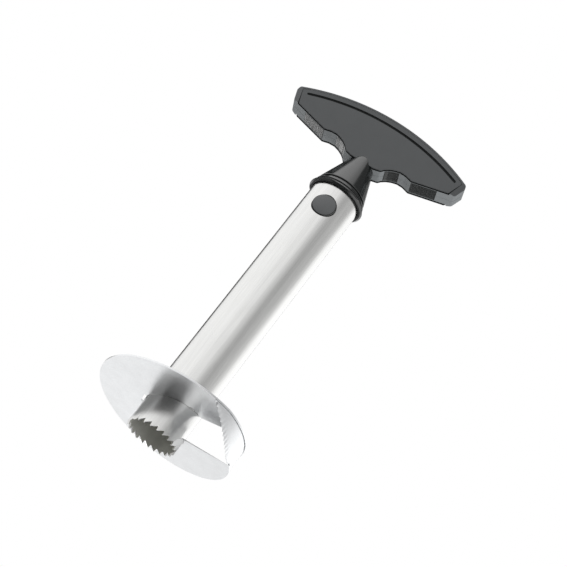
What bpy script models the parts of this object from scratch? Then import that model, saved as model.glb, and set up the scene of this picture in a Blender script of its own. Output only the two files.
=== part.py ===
"""Pineapple slicer: a toothed coring tube with a spiral slicing blade, and a T handle on a release plug.

The tube stands on the tips of its teeth with its axis on +Z. The grip runs along X, and the button that
the front shows faces -Y. Lengths are in metres.
"""

from math import cos, hypot, pi, radians, sin, sqrt

import bmesh
import bpy
from mathutils import Matrix, Vector

MM = 0.001

# Clearances shared by all pieces
SEAM = 0.3 * MM
RUNNING_GAP = 0.3 * MM
CUT_OVERRUN = 2.0 * MM

# Coring tube
TUBE_RADIUS = 16.0 * MM
TUBE_WALL = 1.0 * MM
TUBE_LENGTH = 193.6 * MM
TUBE_TOOTH_COUNT = 23
TUBE_TOOTH_DEPTH = 2.4 * MM
TUBE_TOOTH_SHARES = (0.0, 0.1, 0.375, 0.65, 0.93)
TUBE_TOOTH_HEIGHT_SHARES = (0.0, 0.0, 0.33, 0.67, 1.0)

# Spiral slicing blade, angles counted anticlockwise from +X seen from above
BLADE_RADIUS = 46.5 * MM
BLADE_SHEET = 1.0 * MM
BLADE_LOW_Z = 9.2 * MM
BLADE_RISE = 16.4 * MM
BLADE_RIM_EARLY_SHARE = 0.476
BLADE_ROOT_EARLY_SHARE = 0.7
BLADE_LEAD_ANGLE = radians(-9.0)
BLADE_RIM_FLAT_ANGLE = radians(315.0)
BLADE_ROOT_FLAT_ANGLE = radians(351.0)
BLADE_END_ANGLE = radians(376.0)
BLADE_STEPS = 77
BLADE_GROUND_STEPS = 1
BLADE_GROUND_SHARE = 0.3
BLADE_RING_SHARES = (0.0, 0.35, 0.7, 1.0)
BLADE_TAIL_WIDTH = 4.0 * MM
TRAILING_ROOT_ANGLE = radians(-9.0)
TRAILING_TIP_ANGLE = radians(-17.2)
WINDOW_PAST_ANGLE = radians(5.0)

# Relief slots beside the blade's welds, as start and end angles
RELIEF_WIDTH = 1.7 * MM
RELIEF_ANGLES = (
    (radians(60.0), radians(85.0)), (radians(176.0), radians(201.0)), (radians(306.0), radians(322.0)))
RELIEF_STEPS = 8

# Serrated knife at the blade's rim
KNIFE_INSET = 0.5 * MM
KNIFE_SHEET = 0.8 * MM
KNIFE_FRONT_ANGLE = radians(-58.0)
KNIFE_SWEEP_ANGLE = radians(-20.0)
KNIFE_FOOT_ANGLE = radians(-11.0)
KNIFE_BACK_TOP_ANGLE = radians(16.0)
KNIFE_BACK_LOW_ANGLE = radians(24.0)
KNIFE_TOOTH_COUNT = 12
KNIFE_TOOTH_DEPTH = 1.0 * MM
KNIFE_NOSE_HEIGHT = 0.8 * MM
KNIFE_SWEEP_POWER = 1.3
KNIFE_FOOT_STEPS = 2
KNIFE_BACK_STEPS = 8

# Release buttons
BUTTON_BELOW_RIM = 17.2 * MM
BUTTON_RADIUS = 7.4 * MM
BUTTON_PROUD = 1.1 * MM
BUTTON_DOME = 0.95 * MM
BUTTON_TRAVEL = 3.0 * MM
BUTTON_FLANGE = 1.7 * MM
BUTTON_FLANGE_THICKNESS = 1.5 * MM
BUTTON_SEAT_DEPTH = 7.0 * MM
BUTTON_SKIN = 2.2 * MM
BUTTON_POCKET_RADIUS = 5.2 * MM
GUIDE_WALL = 1.8 * MM

# Button springs
SPRING_RADIUS = 2.9 * MM
SPRING_WIRE = 0.8 * MM
SPRING_TURNS = 5
SPRING_TURN_POINTS = 8

# Plug inside the tube
PLUG_FOOT = 8.6 * MM
PLUG_FLANGE = 1.6 * MM
PLUG_TOP_WALL = 4.3 * MM
PLUG_POCKET_WALL = 2.0 * MM
PLUG_POCKET_DEPTH = 5.0 * MM
CAP_PLATE = 2.5 * MM
CAP_LIP = 1.5 * MM
CAP_LIP_HEIGHT = 2.5 * MM

# Bar that carries the springs
SEAT_FOOT_BELOW_BORE = 1.6 * MM
SEAT_HALF_WIDTH = 3.4 * MM
SEAT_STUD_RADIUS = 1.8 * MM
SEAT_STUD_LENGTH = 2.6 * MM

# Collar and neck
COLLAR_OVERLAP = 1.7 * MM
COLLAR_WALL = 2.4 * MM
COLLAR_BAND = 1.95 * MM
COLLAR_SHOULDER = 1.0 * MM
COLLAR_CHAMFER = 0.5 * MM
COLLAR_RIDGES = 1
COLLAR_RIDGE_PITCH = 3.0 * MM
COLLAR_GROOVE = 1.3 * MM
COLLAR_GROOVE_DEPTH = 0.8 * MM
COLLAR_LEDGE = 5.0 * MM
NECK_INSET = 2.08 * MM
NECK_LENGTH = 27.85 * MM
NECK_TOP_RADIUS = 7.2 * MM
NECK_ENTRY = 4.5 * MM

# Bolt that clamps handle, neck, collar and plug
BOLT_RADIUS = 2.5 * MM
BOLT_HEAD_RADIUS = 4.25 * MM
BOLT_HEAD_HEIGHT = 4.0 * MM
BOLT_KEY_RADIUS = 2.3 * MM
BOLT_KEY_DEPTH = 2.4 * MM
WASHER_RADIUS = 5.0 * MM
WASHER_THICKNESS = 1.0 * MM
INSERT_RADIUS = 3.8 * MM
INSERT_LENGTH = 12.0 * MM
INSERT_ABOVE_NECK = 1.0 * MM
BOLT_PAST_INSERT = 1.0 * MM

# T grip, its underside in shares of the half length and of the height below the crown
GRIP_HALF_LENGTH = 61.0 * MM
GRIP_HEIGHT = 38.2 * MM
GRIP_THICKNESS = 14.9 * MM
GRIP_ARC_STEPS = 28
GRIP_CHAMFER = 0.7 * MM
GRIP_UNDERSIDE_SHARES = (
    (0.131, 1.0), (0.206, 0.967), (0.232, 0.914), (0.268, 0.867), (0.318, 0.824),
    (0.376, 0.796), (0.440, 0.799), (0.515, 0.833), (0.957, 0.642), (1.0, 0.432))
GRIP_CORNER_SHARES = (0.990, 0.372)

# Panels on the grip's two faces
PANEL_THICKNESS = 1.6 * MM
PANEL_RIM = 1.7 * MM
PANEL_LOW_END_INSET = 6.7 * MM
PANEL_HIGH_END_INSET = 3.1 * MM
GROOVE_INSET = 5.75 * MM
GROOVE_END_INSET = 7.4 * MM
GROOVE_WIDTH = 1.8 * MM
GROOVE_DEPTH = 0.9 * MM
GROOVE_STEPS = 24
PIN_RADIUS = 1.5 * MM
PIN_LENGTH = 3.0 * MM
PIN_PLACE_SHARES = ((0.46, 0.50), (0.86, 0.50))

# Lightening pockets inside the grip, in the same shares
POCKET_SHARES = (
    ((0.16, 0.80), (0.20, 0.30), (0.40, 0.30), (0.40, 0.68), (0.28, 0.72)),
    ((0.52, 0.70), (0.52, 0.30), (0.80, 0.36), (0.80, 0.60)))

# Soft pads let into the underside, as start and end shares of the half length
PAD_DEPTH = 1.6 * MM
PAD_INNER_SHARES = (0.238, 0.370)
PAD_OUTER_SHARES = (0.518, 0.780)

ROUND_STEPS = 48
BUTTON_STEPS = 32
DOME_STEPS = 4
SMALL_ROUND_STEPS = 24
STUD_STEPS = 16
PIN_STEPS = 12
MERGE = 0.00001
SMOOTH_ANGLE = radians(35.0)
CORNER_ANGLE = radians(50.0)
FLAT_ANGLE = radians(0.5)

# Sizes worked out from those above
BUTTON_Z = TUBE_LENGTH - BUTTON_BELOW_RIM
PLUG_RADIUS = TUBE_RADIUS - TUBE_WALL - RUNNING_GAP
FLANGE_BOTTOM_Z = TUBE_LENGTH + SEAM
PLUG_TOP_Z = FLANGE_BOTTOM_Z + PLUG_FLANGE
COLLAR_RADIUS = TUBE_RADIUS + SEAM + COLLAR_WALL
COLLAR_NECK_RADIUS = TUBE_RADIUS + SEAM - COLLAR_LEDGE
COLLAR_BOTTOM_Z = TUBE_LENGTH - COLLAR_OVERLAP
COLLAR_STEP_Z = PLUG_TOP_Z + SEAM
COLLAR_TOP_Z = COLLAR_BOTTOM_Z + COLLAR_BAND + COLLAR_RIDGES * COLLAR_RIDGE_PITCH + COLLAR_GROOVE
NECK_TOP_Z = COLLAR_TOP_Z + NECK_LENGTH
NECK_SLOPE = (COLLAR_RADIUS - NECK_INSET - NECK_TOP_RADIUS) / NECK_LENGTH
BUTTON_FACE = TUBE_RADIUS + BUTTON_PROUD
GUIDE_RADIUS = BUTTON_RADIUS + RUNNING_GAP + GUIDE_WALL
CROSS_BORE_RADIUS = GUIDE_RADIUS + SEAM
CROSS_BORE_BOTTOM_Z = BUTTON_Z - CROSS_BORE_RADIUS
PLUG_BOTTOM_Z = CROSS_BORE_BOTTOM_Z - PLUG_FOOT
GUIDE_INNER_Y = TUBE_RADIUS - BUTTON_SEAT_DEPTH
FLANGE_OUTER_Y = GUIDE_INNER_Y - SEAM
FLANGE_INNER_Y = FLANGE_OUTER_Y - BUTTON_FLANGE_THICKNESS
SEAT_HALF_THICKNESS = FLANGE_INNER_Y - BUTTON_TRAVEL - RUNNING_GAP
SEAT_RADIUS = hypot(SEAT_HALF_WIDTH, SEAT_HALF_THICKNESS)
PLUG_AXIAL_RADIUS = max(SEAT_RADIUS, WASHER_RADIUS) + SEAM
WASHER_TOP_Z = PLUG_TOP_Z - PLUG_TOP_WALL - SEAM
BOLT_SEAT_Z = WASHER_TOP_Z - WASHER_THICKNESS - SEAM
BOLT_BOTTOM_Z = BOLT_SEAT_Z - BOLT_HEAD_HEIGHT
INSERT_BOTTOM_Z = NECK_TOP_Z + INSERT_ABOVE_NECK
INSERT_TOP_Z = INSERT_BOTTOM_Z + INSERT_LENGTH
BOLT_TOP_Z = INSERT_TOP_Z + BOLT_PAST_INSERT
HALF_GRIP = GRIP_THICKNESS / 2
CORE_HALF = HALF_GRIP - PANEL_THICKNESS - SEAM
GRIP_CROWN_Z = NECK_TOP_Z - NECK_ENTRY + GRIP_HEIGHT
GRIP_CORNER_X = GRIP_CORNER_SHARES[0] * GRIP_HALF_LENGTH
GRIP_CORNER_DROP = GRIP_CORNER_SHARES[1] * GRIP_HEIGHT
GRIP_ARC_RADIUS = (GRIP_CORNER_X ** 2 + GRIP_CORNER_DROP ** 2) / (2 * GRIP_CORNER_DROP)
GRIP_ARC_Z = GRIP_CROWN_Z - GRIP_ARC_RADIUS
GROOVE_HALF_LENGTH = GRIP_HALF_LENGTH - GROOVE_END_INSET


def clear_scene():
    """Start from an empty file."""
    for thing in list(bpy.data.objects):
        bpy.data.objects.remove(thing, do_unlink=True)


def add_collection(name):
    collection = bpy.data.collections.new(name)
    bpy.context.scene.collection.children.link(collection)
    return collection


clear_scene()
PARTS = add_collection("pineapple_slicer")
CUTTERS = add_collection("cutters")


def add_material(name, colour, roughness, metallic):
    """A plain Principled material."""
    material = bpy.data.materials.new(name)
    material.use_nodes = True
    shader = material.node_tree.nodes["Principled BSDF"]
    shader.inputs["Base Color"].default_value = (*colour, 1.0)
    shader.inputs["Roughness"].default_value = roughness
    shader.inputs["Metallic"].default_value = metallic
    material.diffuse_color = (*colour, 1.0)
    return material


STEEL = add_material("brushed_steel", (0.72, 0.72, 0.71), 0.28, 1.0)
BLADE_STEEL = add_material("polished_blade_steel", (0.78, 0.79, 0.80), 0.22, 1.0)
GRIP_PLASTIC = add_material("grip_plastic", (0.10, 0.105, 0.108), 0.45, 0.0)
PANEL_PLASTIC = add_material("panel_plastic", (0.085, 0.088, 0.09), 0.5, 0.0)
SOFT_RUBBER = add_material("soft_rubber", (0.03, 0.03, 0.03), 0.75, 0.0)
GLOSS_PLASTIC = add_material("gloss_black_plastic", (0.012, 0.013, 0.013), 0.15, 0.0)
BUTTON_PLASTIC = add_material("button_plastic", (0.095, 0.098, 0.10), 0.4, 0.0)
PLUG_PLASTIC = add_material("plug_plastic", (0.03, 0.03, 0.032), 0.4, 0.0)
ZINC_STEEL = add_material("zinc_plated_steel", (0.55, 0.56, 0.58), 0.35, 1.0)
BRASS = add_material("brass", (0.72, 0.52, 0.22), 0.3, 1.0)


def smooth_by_angle():
    """A modifier's node group that shades faces smooth but leaves the edges between steep ones sharp."""
    group = bpy.data.node_groups.new("smooth_by_angle", "GeometryNodeTree")
    group.interface.new_socket("Geometry", in_out="INPUT", socket_type="NodeSocketGeometry")
    group.interface.new_socket("Geometry", in_out="OUTPUT", socket_type="NodeSocketGeometry")
    nodes = group.nodes
    start = nodes.new("NodeGroupInput")
    angle = nodes.new("GeometryNodeInputMeshEdgeAngle")
    gentle = nodes.new("FunctionNodeCompare")
    gentle.operation = "LESS_THAN"
    gentle.inputs["B"].default_value = SMOOTH_ANGLE
    faces = nodes.new("GeometryNodeSetShadeSmooth")
    edges = nodes.new("GeometryNodeSetShadeSmooth")
    edges.domain = "EDGE"
    end = nodes.new("NodeGroupOutput")
    group.links.new(start.outputs["Geometry"], faces.inputs["Geometry"])
    group.links.new(faces.outputs["Geometry"], edges.inputs["Geometry"])
    group.links.new(angle.outputs["Unsigned Angle"], gentle.inputs["A"])
    group.links.new(gentle.outputs["Result"], edges.inputs["Shade Smooth"])
    group.links.new(edges.outputs["Geometry"], end.inputs["Geometry"])
    return group


SMOOTH = smooth_by_angle()


def link(thing, material, cutter=False):
    """Put an object in its collection; a cutter is hidden from renders."""
    if cutter:
        CUTTERS.objects.link(thing)
        thing.hide_render = True
        thing.display_type = "WIRE"
    else:
        PARTS.objects.link(thing)
        thing.data.materials.append(material)
    return thing


def mesh_object(name, mesh_data, material=None, cutter=False):
    """An object from a bmesh."""
    mesh = bpy.data.meshes.new(name)
    mesh_data.to_mesh(mesh)
    mesh_data.free()
    return link(bpy.data.objects.new(name, mesh), material, cutter)


def turned(name, profile, steps=ROUND_STEPS, material=None, cutter=False):
    """Turn a closed profile of radius and height about Z; its outer side runs from top to bottom."""
    shape = bmesh.new()
    points = [shape.verts.new((radius, 0.0, height)) for radius, height in profile]
    on_axis = profile[0][0] == 0.0 and profile[-1][0] == 0.0
    pairs = zip(points, points[1:]) if on_axis else zip(points, points[1:] + points[:1])
    for start, end in pairs:
        shape.edges.new((start, end))
    thing = mesh_object(name, shape, material, cutter)
    screw = thing.modifiers.new("turn", "SCREW")
    screw.axis = "Z"
    screw.steps = steps
    screw.render_steps = steps
    screw.use_merge_vertices = True
    screw.merge_threshold = MERGE
    return thing


def cylinder(name, radius, low, high, axis="Z", centre=(0.0, 0.0, 0.0), steps=SMALL_ROUND_STEPS,
             material=None, cutter=False):
    """A cylinder from low to high along an axis through a centre."""
    turn = {"Z": Matrix.Identity(4), "Y": Matrix.Rotation(radians(-90.0), 4, "X")}[axis]
    shape = bmesh.new()
    bmesh.ops.create_cone(shape, cap_ends=True, segments=steps, radius1=radius, radius2=radius,
                          depth=high - low, matrix=Matrix.Translation((0.0, 0.0, (low + high) / 2)))
    bmesh.ops.transform(shape, matrix=Matrix.Translation(centre) @ turn, verts=shape.verts)
    return mesh_object(name, shape, material, cutter)


def block(name, low, high, material=None, cutter=False):
    """A box between two corners."""
    shape = bmesh.new()
    size = [b - a for a, b in zip(low, high)]
    middle = [(a + b) / 2 for a, b in zip(low, high)]
    shift = Matrix.Translation(middle)
    bmesh.ops.create_cube(shape, size=1.0, matrix=shift @ Matrix.Diagonal((*size, 1.0)))
    return mesh_object(name, shape, material, cutter)


def plate(name, outline, low, high, upright=True, material=None, cutter=False):
    """A filled outline, given a thickness from low to high.

    An upright outline is in X and Z and is thick along Y; a level one is in X and Y and thick along Z.
    """
    curve = bpy.data.curves.new(name, "CURVE")
    curve.dimensions = "2D"
    curve.fill_mode = "BOTH"
    curve.extrude = (high - low) / 2
    spline = curve.splines.new("POLY")
    spline.points.add(len(outline) - 1)
    for point, (across, along) in zip(spline.points, outline):
        point.co = (across, along, 0.0, 1.0)
    spline.use_cyclic_u = True
    guide = bpy.data.objects.new(name + "_outline", curve)
    bpy.context.scene.collection.objects.link(guide)
    middle = (low + high) / 2
    if upright:
        guide.matrix_world = Matrix.Translation((0.0, middle, 0.0)) @ Matrix.Rotation(radians(90.0), 4, "X")
    else:
        guide.matrix_world = Matrix.Translation((0.0, 0.0, middle))
    bpy.context.view_layer.update()
    evaluated = guide.evaluated_get(bpy.context.evaluated_depsgraph_get())
    mesh = bpy.data.meshes.new_from_object(evaluated)
    shape = bmesh.new()
    shape.from_mesh(mesh)
    bmesh.ops.remove_doubles(shape, verts=shape.verts, dist=MERGE)
    bmesh.ops.dissolve_limit(shape, angle_limit=FLAT_ANGLE, verts=shape.verts, edges=shape.edges)
    bmesh.ops.recalc_face_normals(shape, faces=shape.faces)
    thing = mesh_object(name, shape, material, cutter)
    thing.matrix_world = guide.matrix_world.copy()
    bpy.data.meshes.remove(mesh)
    bpy.data.objects.remove(guide, do_unlink=True)
    return thing


def boolean(thing, other, operation="DIFFERENCE"):
    """Cut, join or keep with another solid."""
    modifier = thing.modifiers.new(operation.lower(), "BOOLEAN")
    modifier.operation = operation
    modifier.solver = "EXACT"
    modifier.object = other


def bevel(thing, width):
    modifier = thing.modifiers.new("edges", "BEVEL")
    modifier.width = width
    modifier.segments = 1
    modifier.limit_method = "ANGLE"
    modifier.angle_limit = CORNER_ANGLE
    modifier.use_clamp_overlap = True


def sheet(name, columns, rows, place, thickness, offset, material, closed=False, ground=None):
    """Sheet metal: a grid whose columns and rows are placed by a function, then given its thickness."""
    shape = bmesh.new()
    bmesh.ops.create_grid(shape, x_segments=columns, y_segments=rows, size=0.5)
    weights = []
    for vertex in shape.verts:
        column = round((vertex.co.x + 0.5) * columns)
        row = round((vertex.co.y + 0.5) * rows)
        vertex.co = place(column, row)
        weights.append(ground(column) if ground else 1.0)
    if closed:
        bmesh.ops.remove_doubles(shape, verts=shape.verts, dist=MERGE)
    thing = mesh_object(name, shape, material)
    solid = thing.modifiers.new("sheet", "SOLIDIFY")
    solid.thickness = thickness
    solid.offset = offset
    solid.use_even_offset = True
    if ground:
        group = thing.vertex_groups.new(name="ground")
        for index, weight in enumerate(weights):
            group.add([index], weight, "REPLACE")
        solid.vertex_group = group.name
        solid.thickness_vertex_group = 0.0
    return thing


def polar(radius, angle, height):
    return Vector((radius * cos(angle), radius * sin(angle), height))


def mirrored(points):
    """The whole outline of a right half that runs from its foot up to its crown."""
    return points + [(-across, up) for across, up in reversed(points)]


# Coring tube with its crown of teeth

def make_tube():
    marks = len(TUBE_TOOTH_SHARES)
    columns = TUBE_TOOTH_COUNT * marks
    pitch = 2 * pi / TUBE_TOOTH_COUNT
    levels = (0.0, TUBE_TOOTH_DEPTH + TUBE_WALL, BUTTON_Z, TUBE_LENGTH)

    def place(column, row):
        tooth, mark = divmod(column % columns, marks)
        angle = (tooth + TUBE_TOOTH_SHARES[mark]) * pitch
        low = TUBE_TOOTH_DEPTH * TUBE_TOOTH_HEIGHT_SHARES[mark]
        return polar(TUBE_RADIUS, angle, low if row == 0 else levels[row])

    tube = sheet("core_tube", columns, len(levels) - 1, place, TUBE_WALL, -1.0, STEEL, closed=True)
    reach = TUBE_RADIUS + CUT_OVERRUN
    hole = cylinder("button_hole", BUTTON_RADIUS + RUNNING_GAP, -reach, reach, "Y", (0.0, 0.0, BUTTON_Z),
                    steps=BUTTON_STEPS, cutter=True)
    boolean(tube, hole)


# Spiral blade

def climb(angle, early_share, flat_angle):
    """Height along an edge of the blade, which rises faster and faster and then runs level."""
    turn = min(1.0, (angle - BLADE_LEAD_ANGLE) / (flat_angle - BLADE_LEAD_ANGLE))
    share = early_share * turn + (1.0 - early_share) * turn * turn
    return BLADE_LOW_Z + BLADE_RISE * share


def root_height(angle):
    return climb(angle, BLADE_ROOT_EARLY_SHARE, BLADE_ROOT_FLAT_ANGLE)


def rim_height(angle):
    return climb(angle, BLADE_RIM_EARLY_SHARE, BLADE_RIM_FLAT_ANGLE)


def blade_height(angle, out_share):
    """Height of the blade's mid surface, from its root at the tube to its rim."""
    return root_height(angle) + (rim_height(angle) - root_height(angle)) * out_share


def ring_sector(name, inner, outer, start, end, low, high):
    """A cutter: part of a flat ring between two angles."""
    angles = [start + (end - start) * step / RELIEF_STEPS for step in range(RELIEF_STEPS + 1)]
    outline = [(outer * cos(angle), outer * sin(angle)) for angle in angles]
    outline += [(inner * cos(angle), inner * sin(angle)) for angle in reversed(angles)]
    return plate(name, outline, low, high, upright=False, cutter=True)


def make_blade():
    inner = TUBE_RADIUS + SEAM

    def place(column, row):
        angle = BLADE_LEAD_ANGLE + (BLADE_END_ANGLE - BLADE_LEAD_ANGLE) * column / BLADE_STEPS
        out_share = BLADE_RING_SHARES[row]
        return polar(inner + (BLADE_RADIUS - inner) * out_share, angle, blade_height(angle, out_share))

    def ground(column):
        return BLADE_GROUND_SHARE if column < BLADE_GROUND_STEPS else 1.0

    blade = sheet("slicing_blade", BLADE_STEPS, len(BLADE_RING_SHARES) - 1, place, BLADE_SHEET, 0.0,
                  BLADE_STEEL, ground=ground)
    for number, (start, end) in enumerate(RELIEF_ANGLES, 1):
        low = root_height(start) - CUT_OVERRUN
        high = root_height(end) + CUT_OVERRUN
        slot = ring_sector(f"relief_slot_{number}", TUBE_RADIUS - CUT_OVERRUN, TUBE_RADIUS + RELIEF_WIDTH,
                           start, end, low, high)
        boolean(blade, slot)
    tail_inner = BLADE_RADIUS - BLADE_TAIL_WIDTH
    end = BLADE_END_ANGLE - 2 * pi + WINDOW_PAST_ANGLE
    tail_sweep = end - TRAILING_TIP_ANGLE
    arc = [TRAILING_TIP_ANGLE + tail_sweep * step / RELIEF_STEPS for step in range(RELIEF_STEPS + 1)]
    root = TUBE_RADIUS - CUT_OVERRUN
    outline = [(root * cos(angle), root * sin(angle)) for angle in (end, TRAILING_ROOT_ANGLE)]
    outline += [(tail_inner * cos(angle), tail_inner * sin(angle)) for angle in arc]
    window = plate("window", outline, root_height(TRAILING_TIP_ANGLE + 2 * pi) - CUT_OVERRUN,
                   BLADE_LOW_Z + BLADE_RISE + CUT_OVERRUN, upright=False, cutter=True)
    boolean(blade, window)


def make_knife():
    """The serrated strip that stands at the rim between the blade's two ends."""
    radius = BLADE_RADIUS - KNIFE_INSET
    lead_end = BLADE_LEAD_ANGLE - SEAM / radius
    teeth = 2 * KNIFE_TOOTH_COUNT
    foot = teeth + KNIFE_FOOT_STEPS
    clear = BLADE_SHEET / 2 + SEAM

    def top(angle):
        return rim_height(angle + 2 * pi) - clear

    level = BLADE_LOW_Z - BLADE_SHEET / 2
    nose = top(KNIFE_FRONT_ANGLE) - KNIFE_NOSE_HEIGHT

    def place(column, row):
        if column <= teeth:
            share = column / teeth
            angle = KNIFE_FRONT_ANGLE + (KNIFE_SWEEP_ANGLE - KNIFE_FRONT_ANGLE) * share
            low = level + (nose - level) * (1.0 - share) ** KNIFE_SWEEP_POWER
            if column % 2:
                low += KNIFE_TOOTH_DEPTH
        elif column <= foot:
            share = (column - teeth) / KNIFE_FOOT_STEPS
            angle = KNIFE_SWEEP_ANGLE + (KNIFE_FOOT_ANGLE - KNIFE_SWEEP_ANGLE) * share
            low = level
        else:
            share = (column - foot - 1) / KNIFE_BACK_STEPS
            back = KNIFE_BACK_LOW_ANGLE if row == 0 else KNIFE_BACK_TOP_ANGLE
            angle = lead_end + (back - lead_end) * share
            low = rim_height(max(angle, BLADE_LEAD_ANGLE)) + clear
        return polar(radius, angle, low if row == 0 else top(angle))

    sheet("rim_knife", foot + 1 + KNIFE_BACK_STEPS, 1, place, KNIFE_SHEET, -1.0, BLADE_STEEL)


# Plug, buttons and springs inside the tube

def make_plug():
    pocket = PLUG_RADIUS - PLUG_POCKET_WALL
    plug = turned("plug_body", [
        (TUBE_RADIUS, PLUG_TOP_Z),
        (TUBE_RADIUS, FLANGE_BOTTOM_Z),
        (PLUG_RADIUS, FLANGE_BOTTOM_Z),
        (PLUG_RADIUS, PLUG_BOTTOM_Z),
        (pocket, PLUG_BOTTOM_Z),
        (pocket, PLUG_BOTTOM_Z + PLUG_POCKET_DEPTH),
        (PLUG_AXIAL_RADIUS, PLUG_BOTTOM_Z + PLUG_POCKET_DEPTH),
        (PLUG_AXIAL_RADIUS, WASHER_TOP_Z + SEAM),
        (BOLT_RADIUS + SEAM, WASHER_TOP_Z + SEAM),
        (BOLT_RADIUS + SEAM, PLUG_TOP_Z)], material=PLUG_PLASTIC)
    reach = TUBE_RADIUS + CUT_OVERRUN
    bore = cylinder("cross_bore", CROSS_BORE_RADIUS, -reach, reach, "Y", (0.0, 0.0, BUTTON_Z),
                    steps=BUTTON_STEPS, cutter=True)
    boolean(plug, bore)

    lip = pocket - SEAM
    turned("plug_end_cap", [
        (0.0, PLUG_BOTTOM_Z - SEAM),
        (lip - CAP_LIP, PLUG_BOTTOM_Z - SEAM),
        (lip - CAP_LIP, PLUG_BOTTOM_Z + CAP_LIP_HEIGHT),
        (lip, PLUG_BOTTOM_Z + CAP_LIP_HEIGHT),
        (lip, PLUG_BOTTOM_Z - SEAM),
        (PLUG_RADIUS, PLUG_BOTTOM_Z - SEAM),
        (PLUG_RADIUS, PLUG_BOTTOM_Z - SEAM - CAP_PLATE),
        (0.0, PLUG_BOTTOM_Z - SEAM - CAP_PLATE)], material=PLUG_PLASTIC)


def make_spring_seat():
    foot_top = CROSS_BORE_BOTTOM_Z - SEAT_FOOT_BELOW_BORE
    seat = cylinder("spring_seat", PLUG_AXIAL_RADIUS - SEAM, PLUG_BOTTOM_Z, foot_top, material=PLUG_PLASTIC)
    bar = block("seat_bar", (-SEAT_HALF_WIDTH, -SEAT_HALF_THICKNESS, foot_top - SEAM),
                (SEAT_HALF_WIDTH, SEAT_HALF_THICKNESS, BOLT_BOTTOM_Z - SEAM), cutter=True)
    reach = SEAT_HALF_THICKNESS + SEAT_STUD_LENGTH
    stud = cylinder("seat_studs", SEAT_STUD_RADIUS, -reach, reach, "Y", (0.0, 0.0, BUTTON_Z),
                    steps=STUD_STEPS, cutter=True)
    boolean(seat, bar, "UNION")
    boolean(seat, stud, "UNION")


def make_button(side, facing):
    """A button, its guide ring and its spring; facing is -1 at the front and 1 at the rear."""
    turn = Matrix.Rotation(radians(90.0) * -facing, 4, "X")
    hub = Matrix.Translation((0.0, 0.0, BUTTON_Z))
    flange = BUTTON_RADIUS + BUTTON_FLANGE

    def outward(thing):
        thing.matrix_world = hub @ turn
        return thing

    shares = [step / DOME_STEPS for step in range(DOME_STEPS + 1)]
    dome = [(BUTTON_RADIUS * share, BUTTON_FACE - BUTTON_DOME * share * share) for share in shares]
    outward(turned(f"release_button_{side}", dome + [
        (BUTTON_RADIUS, FLANGE_OUTER_Y),
        (flange, FLANGE_OUTER_Y),
        (flange, FLANGE_INNER_Y),
        (BUTTON_POCKET_RADIUS, FLANGE_INNER_Y),
        (BUTTON_POCKET_RADIUS, BUTTON_FACE - BUTTON_SKIN),
        (0.0, BUTTON_FACE - BUTTON_SKIN)], steps=BUTTON_STEPS, material=BUTTON_PLASTIC))

    guide = outward(turned(f"button_guide_{side}", [
        (GUIDE_RADIUS, TUBE_RADIUS),
        (GUIDE_RADIUS, GUIDE_INNER_Y),
        (BUTTON_RADIUS + RUNNING_GAP, GUIDE_INNER_Y),
        (BUTTON_RADIUS + RUNNING_GAP, TUBE_RADIUS)], steps=BUTTON_STEPS, material=PLUG_PLASTIC))
    wall = cylinder(f"{side}_guide_face", PLUG_RADIUS, BUTTON_Z - TUBE_RADIUS, BUTTON_Z + TUBE_RADIUS,
                    steps=ROUND_STEPS, cutter=True)
    boolean(guide, wall, "INTERSECT")

    wire = SPRING_WIRE / 2
    near = SEAT_HALF_THICKNESS + SEAM + wire
    far = BUTTON_FACE - BUTTON_SKIN - SEAM - wire
    count = SPRING_TURNS * SPRING_TURN_POINTS
    curve = bpy.data.curves.new(f"button_spring_{side}", "CURVE")
    curve.dimensions = "3D"
    curve.bevel_depth = wire
    curve.bevel_resolution = 1
    curve.use_fill_caps = True
    spline = curve.splines.new("POLY")
    spline.points.add(count)
    for step, point in enumerate(spline.points):
        angle = 2 * pi * step / SPRING_TURN_POINTS
        rise = near + (far - near) * step / count
        point.co = (SPRING_RADIUS * cos(angle), SPRING_RADIUS * sin(angle), rise, 1.0)
    spring = link(bpy.data.objects.new(f"button_spring_{side}", curve), ZINC_STEEL)
    outward(spring)


# Neck, collar and the bolt through them

def neck_radius(height):
    return NECK_TOP_RADIUS + (NECK_TOP_Z - height) * NECK_SLOPE


def make_collar():
    band_top = COLLAR_BOTTOM_Z + COLLAR_BAND
    outer = []
    for number in reversed(range(COLLAR_RIDGES + 1)):
        low = band_top + number * COLLAR_RIDGE_PITCH
        high = low + COLLAR_GROOVE
        if number < COLLAR_RIDGES:
            outer.append((neck_radius(high), high))
        floor = neck_radius(high) - COLLAR_GROOVE_DEPTH
        outer += [(floor, high), (floor, low), (neck_radius(low), low)]
    outer += [(COLLAR_RADIUS, band_top - COLLAR_SHOULDER),
              (COLLAR_RADIUS, COLLAR_BOTTOM_Z + COLLAR_CHAMFER),
              (COLLAR_RADIUS - COLLAR_CHAMFER, COLLAR_BOTTOM_Z)]
    inner = [(TUBE_RADIUS + SEAM, COLLAR_BOTTOM_Z), (TUBE_RADIUS + SEAM, COLLAR_STEP_Z),
             (COLLAR_NECK_RADIUS, COLLAR_STEP_Z), (COLLAR_NECK_RADIUS, COLLAR_TOP_Z)]
    turned("collar_ring", outer + inner, steps=ROUND_STEPS, material=GLOSS_PLASTIC)


def make_neck():
    spigot = COLLAR_NECK_RADIUS - SEAM
    shoulder = COLLAR_TOP_Z + SEAM
    turned("neck_cone", [
        (NECK_TOP_RADIUS, NECK_TOP_Z),
        (neck_radius(shoulder), shoulder),
        (spigot, shoulder),
        (spigot, PLUG_TOP_Z + SEAM),
        (BOLT_RADIUS + SEAM, PLUG_TOP_Z + SEAM),
        (BOLT_RADIUS + SEAM, NECK_TOP_Z)], steps=ROUND_STEPS, material=GRIP_PLASTIC)


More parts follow.
